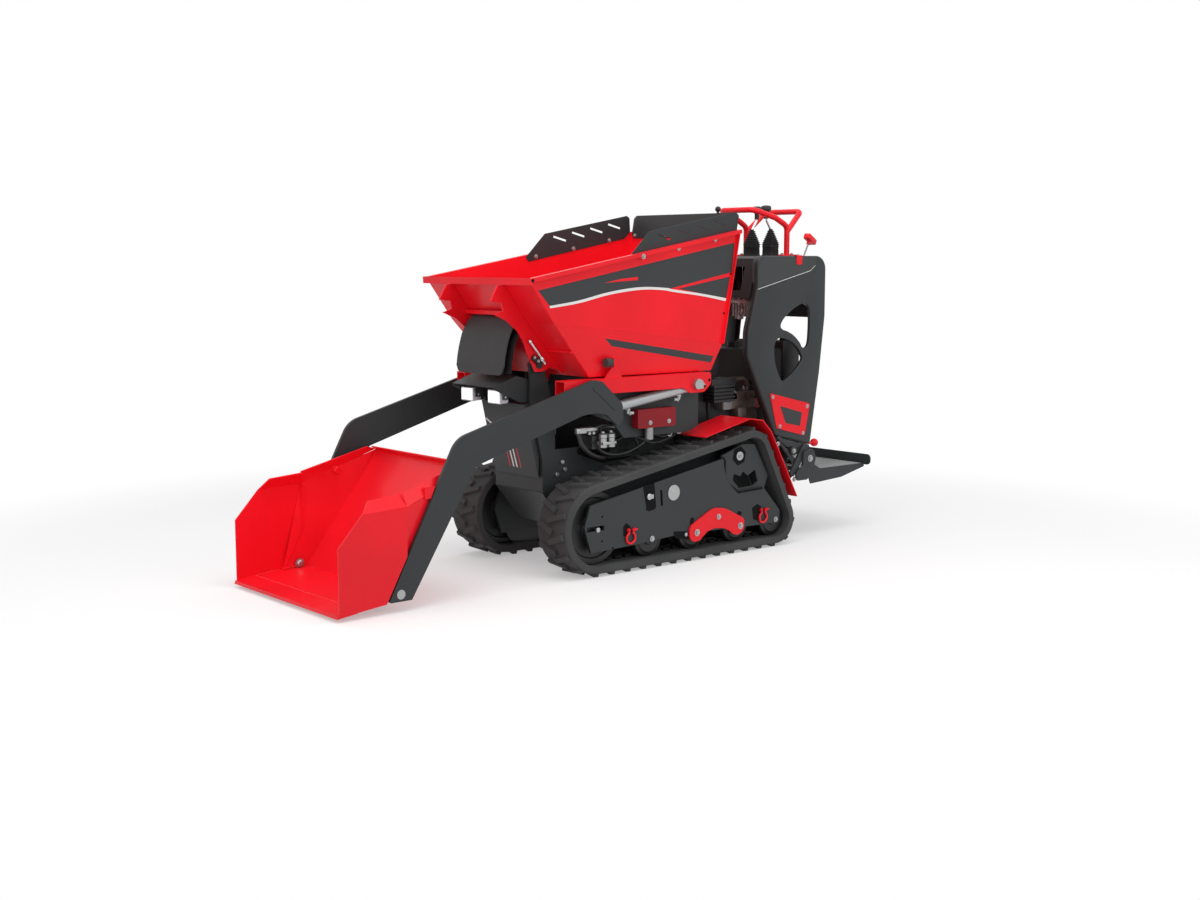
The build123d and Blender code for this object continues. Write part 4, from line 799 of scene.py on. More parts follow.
# Openings and holes in the frame are black patches of painted shade, and the edge of the recessed drive plate
# is a black line of painted shade.
FRAME_OPENING_SHADE = (
    [(21, 344, 10), (-43, 352, 14), (-55, 243, 14), (-3, 235, 14)],
    [(111, 203, 6), (88, 186, 6), (85, 159, 6), (110, 141, 6), (127, 150, 6), (127, 187, 6)],
    [(-654, 201, 6), (-681, 187, 6), (-676, 158, 6), (-661, 126, 6), (-630, 133, 6), (-621, 186, 6)],
    [(-244, 152, 8), (-250, 184, 8), (-276, 181, 8), (-262, 152, 8)],
    [(-526, 156, 8), (-532, 182, 8), (-558, 178, 8), (-556, 162, 8)],
    [(-146, 137, 6), (-165, 106, 8), (-217, 96, 8), (-236, 128, 6)],
)
FRAME_HOLE_SHADE = ((239, 242, 5), (239, 142, 5), (183, 107, 5))
POCKET_EDGE_SHADE = [(-448, 424), (-464, 410), (-464, 338), (-482, 313), (-534, 264), (-686, 268)]
SKID = [(292, 130, 30), (250, 62, 40), (180, 50, 20), (-760, 50, 30), (-812, 90, 30), (-800, 150, 10),
        (290, 180, 10)]
SKID_Y, ROLLER_Y, IDLER_Y = 229, 240, 261
IDLER, IDLER_R = (260, 195), 151
ROLLERS = ((-31, 119), (-281, 119), (-543, 119), (-771, 119))
ROLLER_HALF = [(24, 0), (26, 2), (26, 8), (56, 8), (60, 12), (73, 14), (75, 17), (75, 36), (71, 40), (44, 44),
               (40, 47)]
ROLLER_WIDE = 121
ROLLER_PROFILE = [*ROLLER_HALF, *((radius, ROLLER_WIDE - height) for radius, height in reversed(ROLLER_HALF)),
                  (0, ROLLER_WIDE)]
IDLER_PROFILE = [(40, 0), (44, 2), (60, 2), (64, 8), (120, 8), (126, 2), (147, 2), (151, 6), (151, 20),
                 (146, 24), (118, 26), (118, 52), (146, 54), (151, 58), (151, 78), (147, 82), (126, 82),
                 (120, 76), (64, 76), (60, 83), (44, 83), (40, 85), (0, 85)]
ROCKER_SHEET, SKID_SHEET, POCKET_HALF = 7, 8, 5
BOW_LIFT, BOW_BAR, BOW_BOLTS_X, BOW_BOLTS_Z = 6, 4.6, (72, 103), 172
CLIP = ((-38, FRAME_FACE, 288), (-16, FRAME_FACE + 3, 306))
PLAIN_PIN = [(8, 0), (8, 3), (6, 4), (0, 4)]
PLUG_AT, HUB_AT, HUB_DISC_HIGH = (-152, 301), (-551, 421), 7
IDLER_PIN = [(10, -9), (10, 0.6), (8, 2), (0, 2)]
WASHER_PLUG = [(33, 0), (33, 3), (31, 4.5), (14, 4.5), (12, 6), (0, 6)]
GREASE_CAP = [(12, 0), (13, 1), (13, 5), (9, 7), (0, 7)]
DRIVE_OPENING_SHADE, DRIVE_DISC = [(43, 0), (43, 0.4), (0, 0.4)], [(20, 0), (20, 5), (18, 7), (0, 7)]
BOW_COLLAR, BOW_BOLT = [(6.5, -4), (7.5, -3), (7.5, 3), (6.5, 4)], [(3.4, -18), (3.4, 10)]
for side, sign in SIDES:
    frame_node, outward, face = f"undercarriage_{side}", (0, sign, 0), sign * FRAME_FACE
    rocker = bmesh.new()
    add_plate(rocker, bent_outline(ROCKER, 5), face, sign, ROCKER_SHEET)
    rocker_piece = make_piece(f"rocker_bogie_plate_{side}", rocker, red_coat)
    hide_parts(f"rocker_plate_{side}")
    wheels = bmesh.new()
    for x, z in ROLLERS:
        spin_form(wheels, ROLLER_PROFILE, (x, sign * ROLLER_Y, z), outward, 40)
    spin_form(wheels, IDLER_PROFILE, (IDLER[0], sign * IDLER_Y, IDLER[1]), outward, 64)
    wheel_piece = make_piece(f"track_wheels_{side}", wheels, casting)
    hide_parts(f"rollers_{side}")
    bolts = bmesh.new()
    for x, z, size in ROCKER_BOLTS:
        add_bolt(bolts, (x, face + sign * ROCKER_SHEET, z), outward, size)
    for x, z, size in FRAME_BOLTS:
        add_bolt(bolts, land_beside(frame_node, x, z, sign), outward, size)
    spin_form(bolts, PLAIN_PIN, (-224, face, 115), outward, 18)
    spin_form(bolts, IDLER_PIN, (259, face, 190), outward, 24)
    spin_form(bolts, WASHER_PLUG, land_beside(frame_node, *PLUG_AT, sign), outward, sides=40)
    spin_form(bolts, GREASE_CAP, (-14, face, 298), outward, sides=24)
    add_box(bolts, *mirrored(*CLIP, sign), 1)
    make_plated(f"track_frame_bolts_{side}", bolts)
    # The hexagonal opening round the drive bolt is a black patch of painted shade.
    hex_shade, drive_bolt = bmesh.new(), bmesh.new()
    hub = land_beside(frame_node, *HUB_AT, sign)
    spin_form(hex_shade, DRIVE_OPENING_SHADE, hub, outward, 6, 0.3)
    spin_form(drive_bolt, DRIVE_DISC, hub, outward, 36)
    add_bolt(drive_bolt, hub + Vector((0, sign * HUB_DISC_HIGH, 0)), outward, 6)
    make_plated(f"drive_bolt_{side}", drive_bolt)
    make_piece(f"drive_hub_shade_{side}", hex_shade, shadow_black)
    bows = bmesh.new()
    for step in (0, BOW_STEP):
        y = face + sign * BOW_LIFT
        add_tube(bows, [(x + step, y, z) for x, z in BOW], BOW_BAR, sides=12, steps=5)
        for x in BOW_BOLTS_X:
            spin_form(bows, BOW_COLLAR, (x + step, y, BOW_BOLTS_Z), (1, 0, 0), sides=18)
        spin_form(bows, BOW_BOLT, (BOW_BOLTS_X[0] + step, y, BOW_BOLTS_Z), (1, 0, 0), sides=12)
    make_piece(f"tow_bows_{side}", bows, red_coat)
    # Black patches and lines of painted shade for the frame's openings, holes and the drive pocket's edge.
    openings = bmesh.new()
    for outline in FRAME_OPENING_SHADE:
        add_shade_patch(openings, outline, face, sign)
    for x, z, radius in FRAME_HOLE_SHADE:
        hole = land_beside(frame_node, x, z, sign)
        spin_form(openings, [(radius, 0), (radius, 0.25), (0, 0.25)], hole, outward)
    for (ax, az), (bx, bz) in zip(POCKET_EDGE_SHADE, POCKET_EDGE_SHADE[1:]):
        across = Vector((az - bz, bx - ax)).normalized() * POCKET_HALF
        add_film(openings, [(ax + across.x, az + across.y), (bx + across.x, bz + across.y),
                            (bx - across.x, bz - across.y), (ax - across.x, az - across.y)], frame_node, sign)
    make_piece(f"track_frame_opening_shade_{side}", openings, shadow_black)
    skid = bmesh.new()
    add_plate(skid, bent_outline(SKID, 4), sign * SKID_Y, sign, SKID_SHEET)
    make_piece(f"track_inner_skid_{side}", skid, casting)


# Tracks: moulded rubber belts with deep side-to-side bars. Inside, guide lugs run in the grooves of
# the wheels, evenly pitched round the idler and along the bottom run.
track_rubber = coat("track_rubber", (0.07, 0.071, 0.072), 0.8, level=0.18, peel=1.0, grain=110, shade=0.22)
# The guide lugs are near black, far darker than the belt rubber: painted shade between the wheels.
lug_rubber_painted_shade = coat("lug_rubber_painted_shade", (0.012, 0.012, 0.012), 0.8, level=0.15, peel=1.0, grain=110)
dress(pair("track"), track_rubber, edge=1.6, segments=1)
LUG_HIGH, LUG_LONG, LUG_PITCH, BELT_INNER = 13, 36, 54, 44.3
LUG_NEAR, LUG_FAR, LAST_LUG = 288, 312, -770


def lug_corners(x, low, high, sign):
    """The corners of a guide lug centred at x."""
    return mirrored((x - LUG_LONG / 2, LUG_NEAR, low), (x + LUG_LONG / 2, LUG_FAR, high), sign)


for side, sign in SIDES:
    lugs = bmesh.new()
    x = IDLER[0] - LUG_PITCH
    while x > LAST_LUG:
        add_box(lugs, *lug_corners(x, BELT_INNER, BELT_INNER + LUG_HIGH, sign), 4)
        x -= LUG_PITCH
    turns = round(math.pi * IDLER_R / LUG_PITCH)
    foot = IDLER[1] - IDLER_R
    for i in range(turns + 1):
        lug = lug_corners(IDLER[0], foot + 0.6, foot + LUG_HIGH, sign)
        spun_box(lugs, *lug, 4, (IDLER[0], 0, IDLER[1]), -180 * i / turns)
    make_piece(f"track_guide_lugs_{side}", lugs, lug_rubber_painted_shade)


# Tower: folded charcoal sheet round the tipping cylinder, with its outriggers and front hood.
# The hood's front carries four thin stripes of film and a short pale bar across its shoulder.
dress(["main_frame", "hood", "lamp_bracket"] + pair("outrigger"), dark_coat, edge=1)
STRIPES = (([(-40.5, 500), (-35.5, 500), (-29.5, 420), (-34.5, 420)], film_red, "red"),
           ([(-19.5, 500), (-10.5, 500), (-4.5, 420), (-13.5, 420)], film_white, "dark"),
           ([(3.5, 500), (12.5, 500), (18.5, 420), (9.5, 420)], film_white, "dark"),
           ([(31.5, 500), (36.5, 500), (42.5, 420), (37.5, 420)], film_red, "red"),
           ([(-141, 618), (-139, 608), (-101, 585), (-99, 595)], film_white, "dark"))
for number, (corners, film, slot) in enumerate(STRIPES, 1):
    stripe = bmesh.new()
    lay_film(stripe, [land("hood", (0, y, z), (-1, 0, 0)) for y, z in corners])
    make_piece(f"hood_stripe_{number}", stripe, film)


# Work lamps: cast alloy housings with cooling fins behind, a moulded rim and a clear ribbed cover
# over rows of white emitters; each tilts on a pin between two ears.
def cover_material():
    """Clear ribbed cover over emitters: bright, with a fine vertical ribbing."""
    material = coat("lamp_cover", (0.93, 0.95, 0.98), 0.16, peel=0.02, shade=0.03)
    tree = material.node_tree
    skin = tree.nodes["Principled BSDF"]
    skin.inputs["Emission Color"].default_value = (0.94, 0.96, 1.0, 1)
    skin.inputs["Emission Strength"].default_value = 0.7
    ribs = add_node(tree, "ShaderNodeTexWave", Scale=55)
    ribs.bands_direction = "Y"
    bump = add_node(tree, "ShaderNodeBump", Strength=0.25, Distance=0.0006)
    link(tree, add_node(tree, "ShaderNodeTexCoord"), "Object", ribs, "Vector")
    link(tree, ribs, "Fac", bump, "Height")
    link(tree, bump, "Normal", skin, "Normal")
    return material


lamp_alloy = coat("lamp_alloy", (0.62, 0.62, 0.66), 0.42, peel=0.3, shade=0.06)
lamp_cover = cover_material()
LAMP_FINS, EMITTERS_ACROSS, EMITTERS_HIGH = 11, 6, 2
EAR_SPACE, LAMP_PIN_X, LAMP_PIN_Z = 9, 545, 725
LAMP_PIN = [(11, -5), (11, 4), (9, 6), (0, 6)]
EMITTER = [(6.5, 0), (6.2, 0.3), (4, 0.5), (0, 0.5)]
for side, sign in SIDES:
    low, high = (Vector(c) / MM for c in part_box(f"work_lamp_{side}"))
    y0, y1 = low.y + EAR_SPACE, high.y - EAR_SPACE
    housing = bmesh.new()
    add_box(housing, (low.x + 5, y0 + 2, low.z + 2), (high.x - 4, y1 - 2, high.z - 2), 4)
    add_box(housing, (high.x - 9, y0, low.z), (high.x - 2, y1, high.z), 3)
    for i in range(LAMP_FINS):
        y = y0 + 6 + (y1 - y0 - 12) * i / (LAMP_FINS - 1)
        add_box(housing, (low.x + 1, y - 1.4, low.z + 6), (low.x + 7, y + 1.4, high.z - 6), 0.6)
    for y, outward in ((y0, -1), (y1, 1)):
        spin_form(housing, LAMP_PIN, (LAMP_PIN_X, y + outward * 2, LAMP_PIN_Z), (0, outward, 0), 24)
    lamp_piece = make_piece(f"work_lamp_housing_{side}", housing, lamp_alloy, f"work_lamp_{side}")
    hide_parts(f"work_lamp_{side}")
    cover = bmesh.new()
    add_box(cover, (high.x - 5, y0 + 4, low.z + 4), (high.x - 0.8, y1 - 4, high.z - 4), 1.6)
    make_piece(f"work_lamp_cover_{side}", cover, lamp_cover, f"work_lamp_{side}")
    emitters = bmesh.new()
    for i in range(EMITTERS_ACROSS):
        for j in range(EMITTERS_HIGH):
            y = y0 + 8 + (y1 - y0 - 16) * (i + 0.5) / EMITTERS_ACROSS
            z = low.z + 8 + (high.z - low.z - 16) * (j + 0.5) / EMITTERS_HIGH
            spin_form(emitters, EMITTER, (high.x - 0.8, y, z), (1, 0, 0), sides=18)
    make_piece(f"work_lamp_emitters_{side}", emitters, lamp_cover, f"work_lamp_{side}")


# Engine bay: a petrol engine with a cast block and a finned silver shroud, a heat-stained muffler,
# an air filter, a moulded fuel tank and the gear pump with its plated fittings and hoses. Behind it
# stand the oil tank, the battery, and the valve block with its spools and return springs.
engine_black = coat("engine_paint", (0.022, 0.022, 0.024), 0.42, metal=0.2, level=0.4, peel=0.6, grain=120)
dress(["engine_block"], engine_black, edge=2.5)
rusty = coat("heated_steel", (0.16, 0.13, 0.11), 0.55, metal=0.7, peel=0.7, grain=90, shade=0.3)
dress(["muffler"], rusty, edge=1.5)
black_shell = coat("tank_plastic", (0.020, 0.020, 0.022), 0.5, level=0.35, peel=0.5, grain=200)
dress(["air_cleaner", "fuel_tank"], black_shell, edge=3, segments=3)
TANK_CAP = [(26, 0), (26, 10), (23, 13), (9, 13), (9, 19), (0, 19)]
TANK_BLOCKS = (((-1152, -150, 650), (-1037, 158, 892), 12), ((-1030, -120, 480), (-872, 120, 650), 8),
               ((-1010, 110, 640), (-846, 146, 700), 6))
PUMP_BLOCKS = (((-870, 60, 596), (-700, 150, 676), 8), ((-790, 84, 560), (-736, 170, 606), 10),
               ((-846, 96, 640), (-806, 162, 672), 5))
PUMP_PORTS = ((-822, 676, (-1, 0, 0.3)), (-848, 663, (-1, 0, -0.4)), (-640, 678, (1, 0, 0.2)),
              (-664, 694, (1, 0, 0.2)))
PUMP_HOSES = ([(-835, 110, 704), (-868, 112, 716), (-900, 112, 670), (-906, 104, 560)],
              [(-860, 126, 672), (-884, 128, 664), (-892, 126, 610), (-880, 116, 540)],
              [(-628, 112, 706), (-604, 116, 690), (-592, 124, 640), (-596, 120, 560)],
              [(-652, 104, 722), (-690, 100, 735), (-760, 96, 712), (-800, 100, 660)])
FUEL_PIPE = [(-864, 136, 680), (-880, 138, 650), (-884, 138, 603), (-905, 138, 612), (-920, 138, 631)]
SPOOL_END = [(9, 0), (10, 1), (10, 7), (7, 8), (7, 16), (9, 17), (9, 22), (0, 22)]
SPOOL_ENDS_Z, SPRINGS_Y, SHROUD_FINS = (1004, 1036, 1068, 1100), (18, 36, 54, 72, 90, 108), 7
TANK_CAP_AT, PORTS_Y, SPOOL_ENDS_X, SPOOL_ENDS_Y = (-1098, 112, 892), 118, -862, (64, 82)
SPRINGS_X, SPRINGS_Z, SPRING_STEP, SPRING_BAR = -852, 996, 6, ((-862, 8, 1068), (-842, 118, 1086))
SHROUD, FIRST_FIN, FIN_PITCH = ((-690, 84, 600), (-634, 176, 652)), ((-683, 80, 606), (-680, 178, 656)), 7
SHROUD_DUCT, DUCT_MIDDLE, DUCT_TURN = ((-752, 90, 630), (-702, 150, 676)), (-725, 0, 654), 24
SPRING = [*((7.5 if i % 2 else 5.5, 4.5 * i) for i in range(17)), (10, 74), (10, 84), (0, 84)]
oil_tank = bmesh.new()
for low, high, round_by in TANK_BLOCKS:
    add_box(oil_tank, low, high, round_by)
spin_form(oil_tank, TANK_CAP, TANK_CAP_AT, (0, 0, 1), 28)
make_piece("oil_tank_and_battery", oil_tank, black_shell)
valve_iron = coat("valve_block_iron", (0.06, 0.062, 0.065), 0.45, metal=0.5, peel=0.8, grain=100)
dress(["control_valve"], valve_iron, edge=1.2)
pipe_pink = coat("primed_pipe", (0.52, 0.20, 0.19), 0.45, level=0.35, shade=0.1)
shroud = bmesh.new()
add_box(shroud, *SHROUD, 6)
for i in range(SHROUD_FINS):
    add_box(shroud, *((x + i * FIN_PITCH, y, z) for x, y, z in FIRST_FIN), 1)
spun_box(shroud, *SHROUD_DUCT, 8, DUCT_MIDDLE, DUCT_TURN)
make_piece("engine_shroud", shroud, metal_grey)
fittings = bmesh.new()
for x, z, turn in PUMP_PORTS:
    add_elbow(fittings, (x, PORTS_Y, z), (0, 0, 1), turn)
make_plated("pump_fittings", fittings)
pump = bmesh.new()
for low, high, round_by in PUMP_BLOCKS:
    add_box(pump, low, high, round_by)
make_piece("gear_pump", pump, rusty)
fuel_pipe = bmesh.new()
add_tube(fuel_pipe, FUEL_PIPE, 10, sides=16, steps=6)
make_piece("fuel_pipe", fuel_pipe, pipe_pink)
hoses = bmesh.new()
for points in PUMP_HOSES:
    add_tube(hoses, points, 8, sides=14, steps=8)
make_piece("pump_hoses", hoses, hose_rubber)
spools = bmesh.new()
for i, z in enumerate(SPOOL_ENDS_Z):
    spin_form(spools, SPOOL_END, (SPOOL_ENDS_X, SPOOL_ENDS_Y[i % 2], z), (1, 0, 0), 6)
make_plated("valve_spool_ends", spools)
spring_steel = coat("spring_steel", (0.42, 0.42, 0.41), 0.36, metal=0.45, peel=0.2, shade=0.2)
springs = bmesh.new()
for y in SPRINGS_Y:
    spin_form(springs, SPRING, (SPRINGS_X, y, SPRINGS_Z + SPRING_STEP * (y % 4)), (0, 0, 1), sides=14)
add_box(springs, *SPRING_BAR, 3)
make_piece("valve_return_springs", springs, spring_steel, crease=28)
dress(pair("fender"), red_coat, edge=1)


# Operator's column: each side is a pressed steel pan with a rolled rim and two rolled openings,
# in satin charcoal; the console between them is folded sheet.
dress(["console", "column_shelves"], dark_coat, edge=1.4)
COLUMN_CORNERS = [(-729, 1283, 42), (-1181, 1283, 60), (-1181, 1010, 200), (-1150, 755, 200),
                  (-1093, 420, 12), (-857, 482, 24), (-674, 842, 110), (-676, 955, 150), (-729, 1140, 80)]
UPPER_OPENING = [(-885, 970), (-898, 996), (-942, 1031), (-987, 1056), (-1030, 1068), (-1059, 1060),
                 (-1073, 1038), (-1077, 991), (-1075, 928), (-1069, 886), (-1052, 868), (-1027, 873),
                 (-1010, 896), (-971, 927), (-931, 946), (-900, 955)]
LOWER_OPENING = [(-845, 874), (-856, 904), (-880, 917), (-919, 912), (-958, 896), (-998, 868), (-1024, 835),
                 (-1027, 813), (-994, 777), (-949, 744), (-917, 727), (-896, 726), (-871, 762), (-850, 815)]
PAN_FACE, PAN_BACK, PAN_SHEET, PAN_RIM, PAN_MOUTH, PAN_LIP = 285, 251, 3, 11, 5, 16


def closed_curve(points, steps=5):
    """A smooth closed line through points."""
    loop = [Vector(p) for p in points]
    return smooth_run([loop[-1], *loop, *loop[:2]], steps)


def grown(line, by):
    """A closed line moved outward by a distance."""
    area = sum(a.x * b.y - b.x * a.y for a, b in zip(line, line[1:] + line[:1]))
    way = 1 if area > 0 else -1
    out = []
    for i, here in enumerate(line):
        run = line[(i + 1) % len(line)] - line[i - 1]
        out.append(here + Vector((run.y, -run.x)).normalized() * by * way)
    return out


def add_pressing(form, outline, openings, sign):
    """The skin of a pressed pan: a flat face, a rolled rim and rolled openings."""
    flat = [(grown(outline, -PAN_RIM), PAN_RIM, PAN_RIM, PAN_BACK)]
    flat += [(grown(opening, PAN_MOUTH), -PAN_MOUTH, PAN_MOUTH, PAN_FACE - PAN_LIP) for opening in openings]
    edges = []
    for line, reach, radius, depth in flat:
        turns = [math.radians(22.5 * k) for k in range(5)]
        levels = [(reach * math.sin(turn), PAN_FACE - radius * (1 - math.cos(turn))) for turn in turns]
        rings = [[form.verts.new((p.x, sign * height, p.y)) for p in grown(line, by)]
                 for by, height in [*levels, (reach, depth)]]
        for near, far in zip(rings, rings[1:]):
            for i in range(len(near)):
                j = (i + 1) % len(near)
                form.faces.new([near[i], near[j], far[j], far[i]])
        edges += [form.edges.get((rings[0][i - 1], rings[0][i])) for i in range(len(rings[0]))]
    bmesh.ops.triangle_fill(form, use_beauty=True, use_dissolve=False, edges=edges)


column_outline = bent_outline(COLUMN_CORNERS)
column_openings = [closed_curve(UPPER_OPENING), closed_curve(LOWER_OPENING)]
for side, sign in SIDES:
    pan = bmesh.new()
    add_pressing(pan, column_outline, column_openings, sign)
    pan_piece = make_piece(f"column_side_pan_{side}", pan, dark_coat, crease=30)
    shell = pan_piece.modifiers.new("sheet", "SOLIDIFY")
    shell.thickness = PAN_SHEET * MM
    shell.offset = -1
    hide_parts(f"column_side_{side}")

# Column trim: a red painted plate with its dark middle, held by four screws; a fine white line with
# a slightly paler field above it; and a red catch tab at the top edge.
film_field = coat("charcoal_field", (0.044, 0.047, 0.049), 0.4, level=0.35, peel=0.08, shade=0.05)
PLATE = [(-815, 674, 6), (-1081, 611, 8), (-1048, 466, 10), (-863, 513, 10)]
PLATE_MIDDLE = [(-881, 613, 3), (-1028, 574, 3), (-1017, 512, 3), (-920, 532, 14)]
PLATE_SCREWS = ((-834, 655), (-1062, 600), (-1037, 479), (-883, 520))
FIELD = [(-731, 1139), (-1073, 1219), (-1105, 1241), (-1112, 1276), (-780, 1276), (-740, 1256), (-731, 1225)]
FINE_LINE = [(-731, 1135), (-1073, 1215), (-1104, 1238)]
TAB = [(-977, 1284, 1), (-1015, 1284, 1), (-1013, 1244, 7), (-979, 1244, 7)]
PLATE_BACK, PLATE_FACE = 0.1, 3.3
TRIM_PLATES = (("red_plate", PLATE, PLATE_BACK, 3.2, red_coat, "red"),
               ("plate_middle", PLATE_MIDDLE, PLATE_FACE, 0.35, film_dark, "dark"))
FINE_RISE, TAB_EDGE, TAB_BOLT_X = 2.4, 1285.6, -996
TAB_FOLD = ((-1015, PAN_FACE - 20, 1283.1), (-977, PAN_FACE + 2, TAB_EDGE))
for side, sign in SIDES:
    for label, outline, lift, thickness, finish, slot in TRIM_PLATES:
        plate = bmesh.new()
        add_plate(plate, bent_outline(outline), sign * (PAN_FACE + lift), sign, thickness)
        make_piece(f"column_{label}_{side}", plate, finish)
    screws = bmesh.new()
    for x, z in PLATE_SCREWS:
        add_bolt(screws, (x, sign * (PAN_FACE + PLATE_FACE), z), (0, sign, 0), 5)
    make_plated(f"column_plate_screws_{side}", screws)
    field = bmesh.new()
    add_plate(field, FIELD, sign * (PAN_FACE + FILM_BACK), sign, 0.2)
    make_piece(f"column_field_{side}", field, film_field)
    fine = bmesh.new()
    for a, b in zip(FINE_LINE, FINE_LINE[1:]):
        strip = [a, b, (b[0], b[1] + FINE_RISE), (a[0], a[1] + FINE_RISE)]
        add_plate(fine, strip, sign * (PAN_FACE + FILM_BACK), sign, 0.4)
    make_piece(f"column_fine_line_{side}", fine, film_white)
    tab = bmesh.new()
    add_plate(tab, bent_outline(TAB), sign * (PAN_FACE + PLATE_BACK), sign, 2.4)
    add_box(tab, *mirrored(*TAB_FOLD, sign))
    make_piece(f"column_catch_tab_{side}", tab, red_coat)
    tab_bolt = bmesh.new()
    add_bolt(tab_bolt, (TAB_BOLT_X, sign * (PAN_FACE - 10), TAB_EDGE), (0, 0, 1), 5)
    make_plated(f"column_catch_bolt_{side}", tab_bolt)


# Grab bars: 26 mm red tube. One upright a side splits into a long front hoop and a raised rear
# hoop, welded where they meet, on flanged feet bolted to the console.
def bent_line(points, bend, steps=7):
    """An open line of straight runs whose corners are arcs."""
    points = [Vector(p) for p in points]
    line = [points[0]]
    for before, here, after in zip(points, points[1:], points[2:]):
        line += round_corner(before, here, after, bend, steps)
    return [*line, points[-1]]


GRAB_TUBE, GRAB_FOOT_Y, FOOT_HALF, FOOT_SHEET = 13, 130, 19, 6
FRONT_HOOP = [(-1080, 130, 1286), (-1080, 130, 1418), (-1008, 126, 1455), (-885, 108, 1490)]
REAR_HOOP = [(-1080, 130, 1392), (-1190, 112, 1487)]
TOP_PLATE_Z = 1283
bars = bmesh.new()
for hoop, bend in ((FRONT_HOOP, 34), (REAR_HOOP, 24)):
    run = [*hoop, *((x, -y, z) for x, y, z in reversed(hoop))]
    add_line_tube(bars, bent_line(run, bend), GRAB_TUBE, 18)
foot_bolts = bmesh.new()
for y in (GRAB_FOOT_Y, -GRAB_FOOT_Y):
    near, far = y - FOOT_HALF, y + FOOT_HALF
    foot = bent_outline([(-1128, near, 9), (-1036, near, 9), (-1036, far, 9), (-1128, far, 9)])
    under = TOP_PLATE_Z + 0.1
    skin_over(bars, [[bars.verts.new((x, y, z)) for x, y in foot] for z in (under + FOOT_SHEET, under)])
    for x in (-1114, -1050):
        add_bolt(foot_bolts, (x, y, under + FOOT_SHEET), (0, 0, 1), 6)
grab_piece = make_piece("grab_bar_frame", bars, red_coat)
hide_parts("grab_bars")
make_plated("grab_bar_bolts", foot_bolts)


# Control levers: pleated rubber boots over a square skirt, bright cranked sticks and soft
# mushroom grips, leaning apart; beside them the red wing knob of the console latch.
LEVERS = (("left", 60, 32), ("right", -60, -32))
LEVER_X, SKIRT_HALF, SKIRT_TOP, BOOT_TOP, PLEATS = -1046, 30, 1334, 1402, 8
STICK_BEND, STICK_TOP, GRIP_Z = 1444, 1478, 1452
GRIP = [(9, 0), (11, 2), (11, 26), (13, 29), (19, 34), (23, 41), (24, 49), (22, 56), (17, 59.5), (9, 61),
        (0, 61.4)]
LATCH_ROD_R, LATCH_THREADS, THREADS_FROM, THREAD_STEP, WING_RISE = 3.6, 10, 0.1, 0.08, 24
LATCH_ROD = ((-1120, 200, TOP_PLATE_Z), (-1150, 200, 1338))
WING, WING_ROUND, WING_TURNS = ((-36, -16, -13), (36, 16, 13)), 5, ((-26, "Y"), (12, "Z"))
WING_SOCKET = [(9, 0), (10, 2), (10, 15), (13, 19)]
boot_rubber = coat("boot_rubber", (0.022, 0.022, 0.023), 0.6, level=0.3, peel=0.5, grain=220)
grip_plastic = coat("grip_plastic", (0.030, 0.031, 0.032), 0.5, level=0.35, peel=0.5, grain=240)


def add_square_rings(form, x, y, levels, corner=0.32, sides=32):
    """A form with rounded-square sections: levels of (half width, height)."""
    rings = []
    for half, z in levels:
        ring = []
        for i in range(sides):
            c, s = math.cos(2 * math.pi * i / sides), math.sin(2 * math.pi * i / sides)
            ring.append(form.verts.new((x + half * math.copysign(abs(c) ** corner, c),
                                        y + half * math.copysign(abs(s) ** corner, s), z)))
        rings.append(ring)
    skin_over(form, rings)


for side, y, lean in LEVERS:
    boot = bmesh.new()
    levels = [(SKIRT_HALF + 3, TOP_PLATE_Z + 0.1), (SKIRT_HALF + 3, TOP_PLATE_Z + 4),
              (SKIRT_HALF, TOP_PLATE_Z + 5), (SKIRT_HALF - 1, SKIRT_TOP - 12),
              (SKIRT_HALF + 1, SKIRT_TOP - 10), (SKIRT_HALF - 1, SKIRT_TOP)]
    for i in range(PLEATS):
        share = i / PLEATS
        z = SKIRT_TOP + (BOOT_TOP - SKIRT_TOP) * share
        half = (SKIRT_HALF + 3) * (1 - share) + 10 * share
        levels += [(half, z + 2), (half, z + 3.4), (half - 6, z + 6.4)]
    add_square_rings(boot, LEVER_X, y, [*levels, (8, BOOT_TOP), (7, BOOT_TOP + 4)])
    boot_piece = make_piece(f"lever_boot_{side}", boot, boot_rubber, crease=60)
    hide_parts(f"control_lever_{side}")
    stick = bmesh.new()
    crank = [(LEVER_X, y, BOOT_TOP), (LEVER_X + lean * 0.9, y, STICK_BEND), (LEVER_X + lean, y, STICK_TOP)]
    add_line_tube(stick, bent_line(crank, 12), 5, 14)
    make_piece(f"lever_stick_{side}", stick, chrome)
    grip = bmesh.new()
    spin_form(grip, GRIP, (LEVER_X + lean, y, GRIP_Z), (0, 0, 1), 28)
    make_piece(f"lever_grip_{side}", grip, grip_plastic)

latch_rod = bmesh.new()
rod_foot, rod_head = map(Vector, LATCH_ROD)
run = rod_head - rod_foot
add_line_tube(latch_rod, [rod_foot, rod_head], LATCH_ROD_R, 12)
for i in range(LATCH_THREADS):
    thread = [(LATCH_ROD_R, -1.6), (LATCH_ROD_R + 1, 0), (LATCH_ROD_R, 1.6)]
    spin_form(latch_rod, thread, rod_foot + run * (THREADS_FROM + i * THREAD_STEP), run, 12)
make_piece("latch_rod", latch_rod, zinc)
lean = run.normalized()
wing = bmesh.new()
add_box(wing, *WING)
bmesh.ops.bevel(wing, geom=wing.edges[:], offset=WING_ROUND, segments=3, affect="EDGES", profile=0.6)
for angle, axis in WING_TURNS:
    turn = Matrix.Rotation(math.radians(angle), 3, axis)
    bmesh.ops.rotate(wing, verts=wing.verts, cent=(0, 0, 0), matrix=turn)
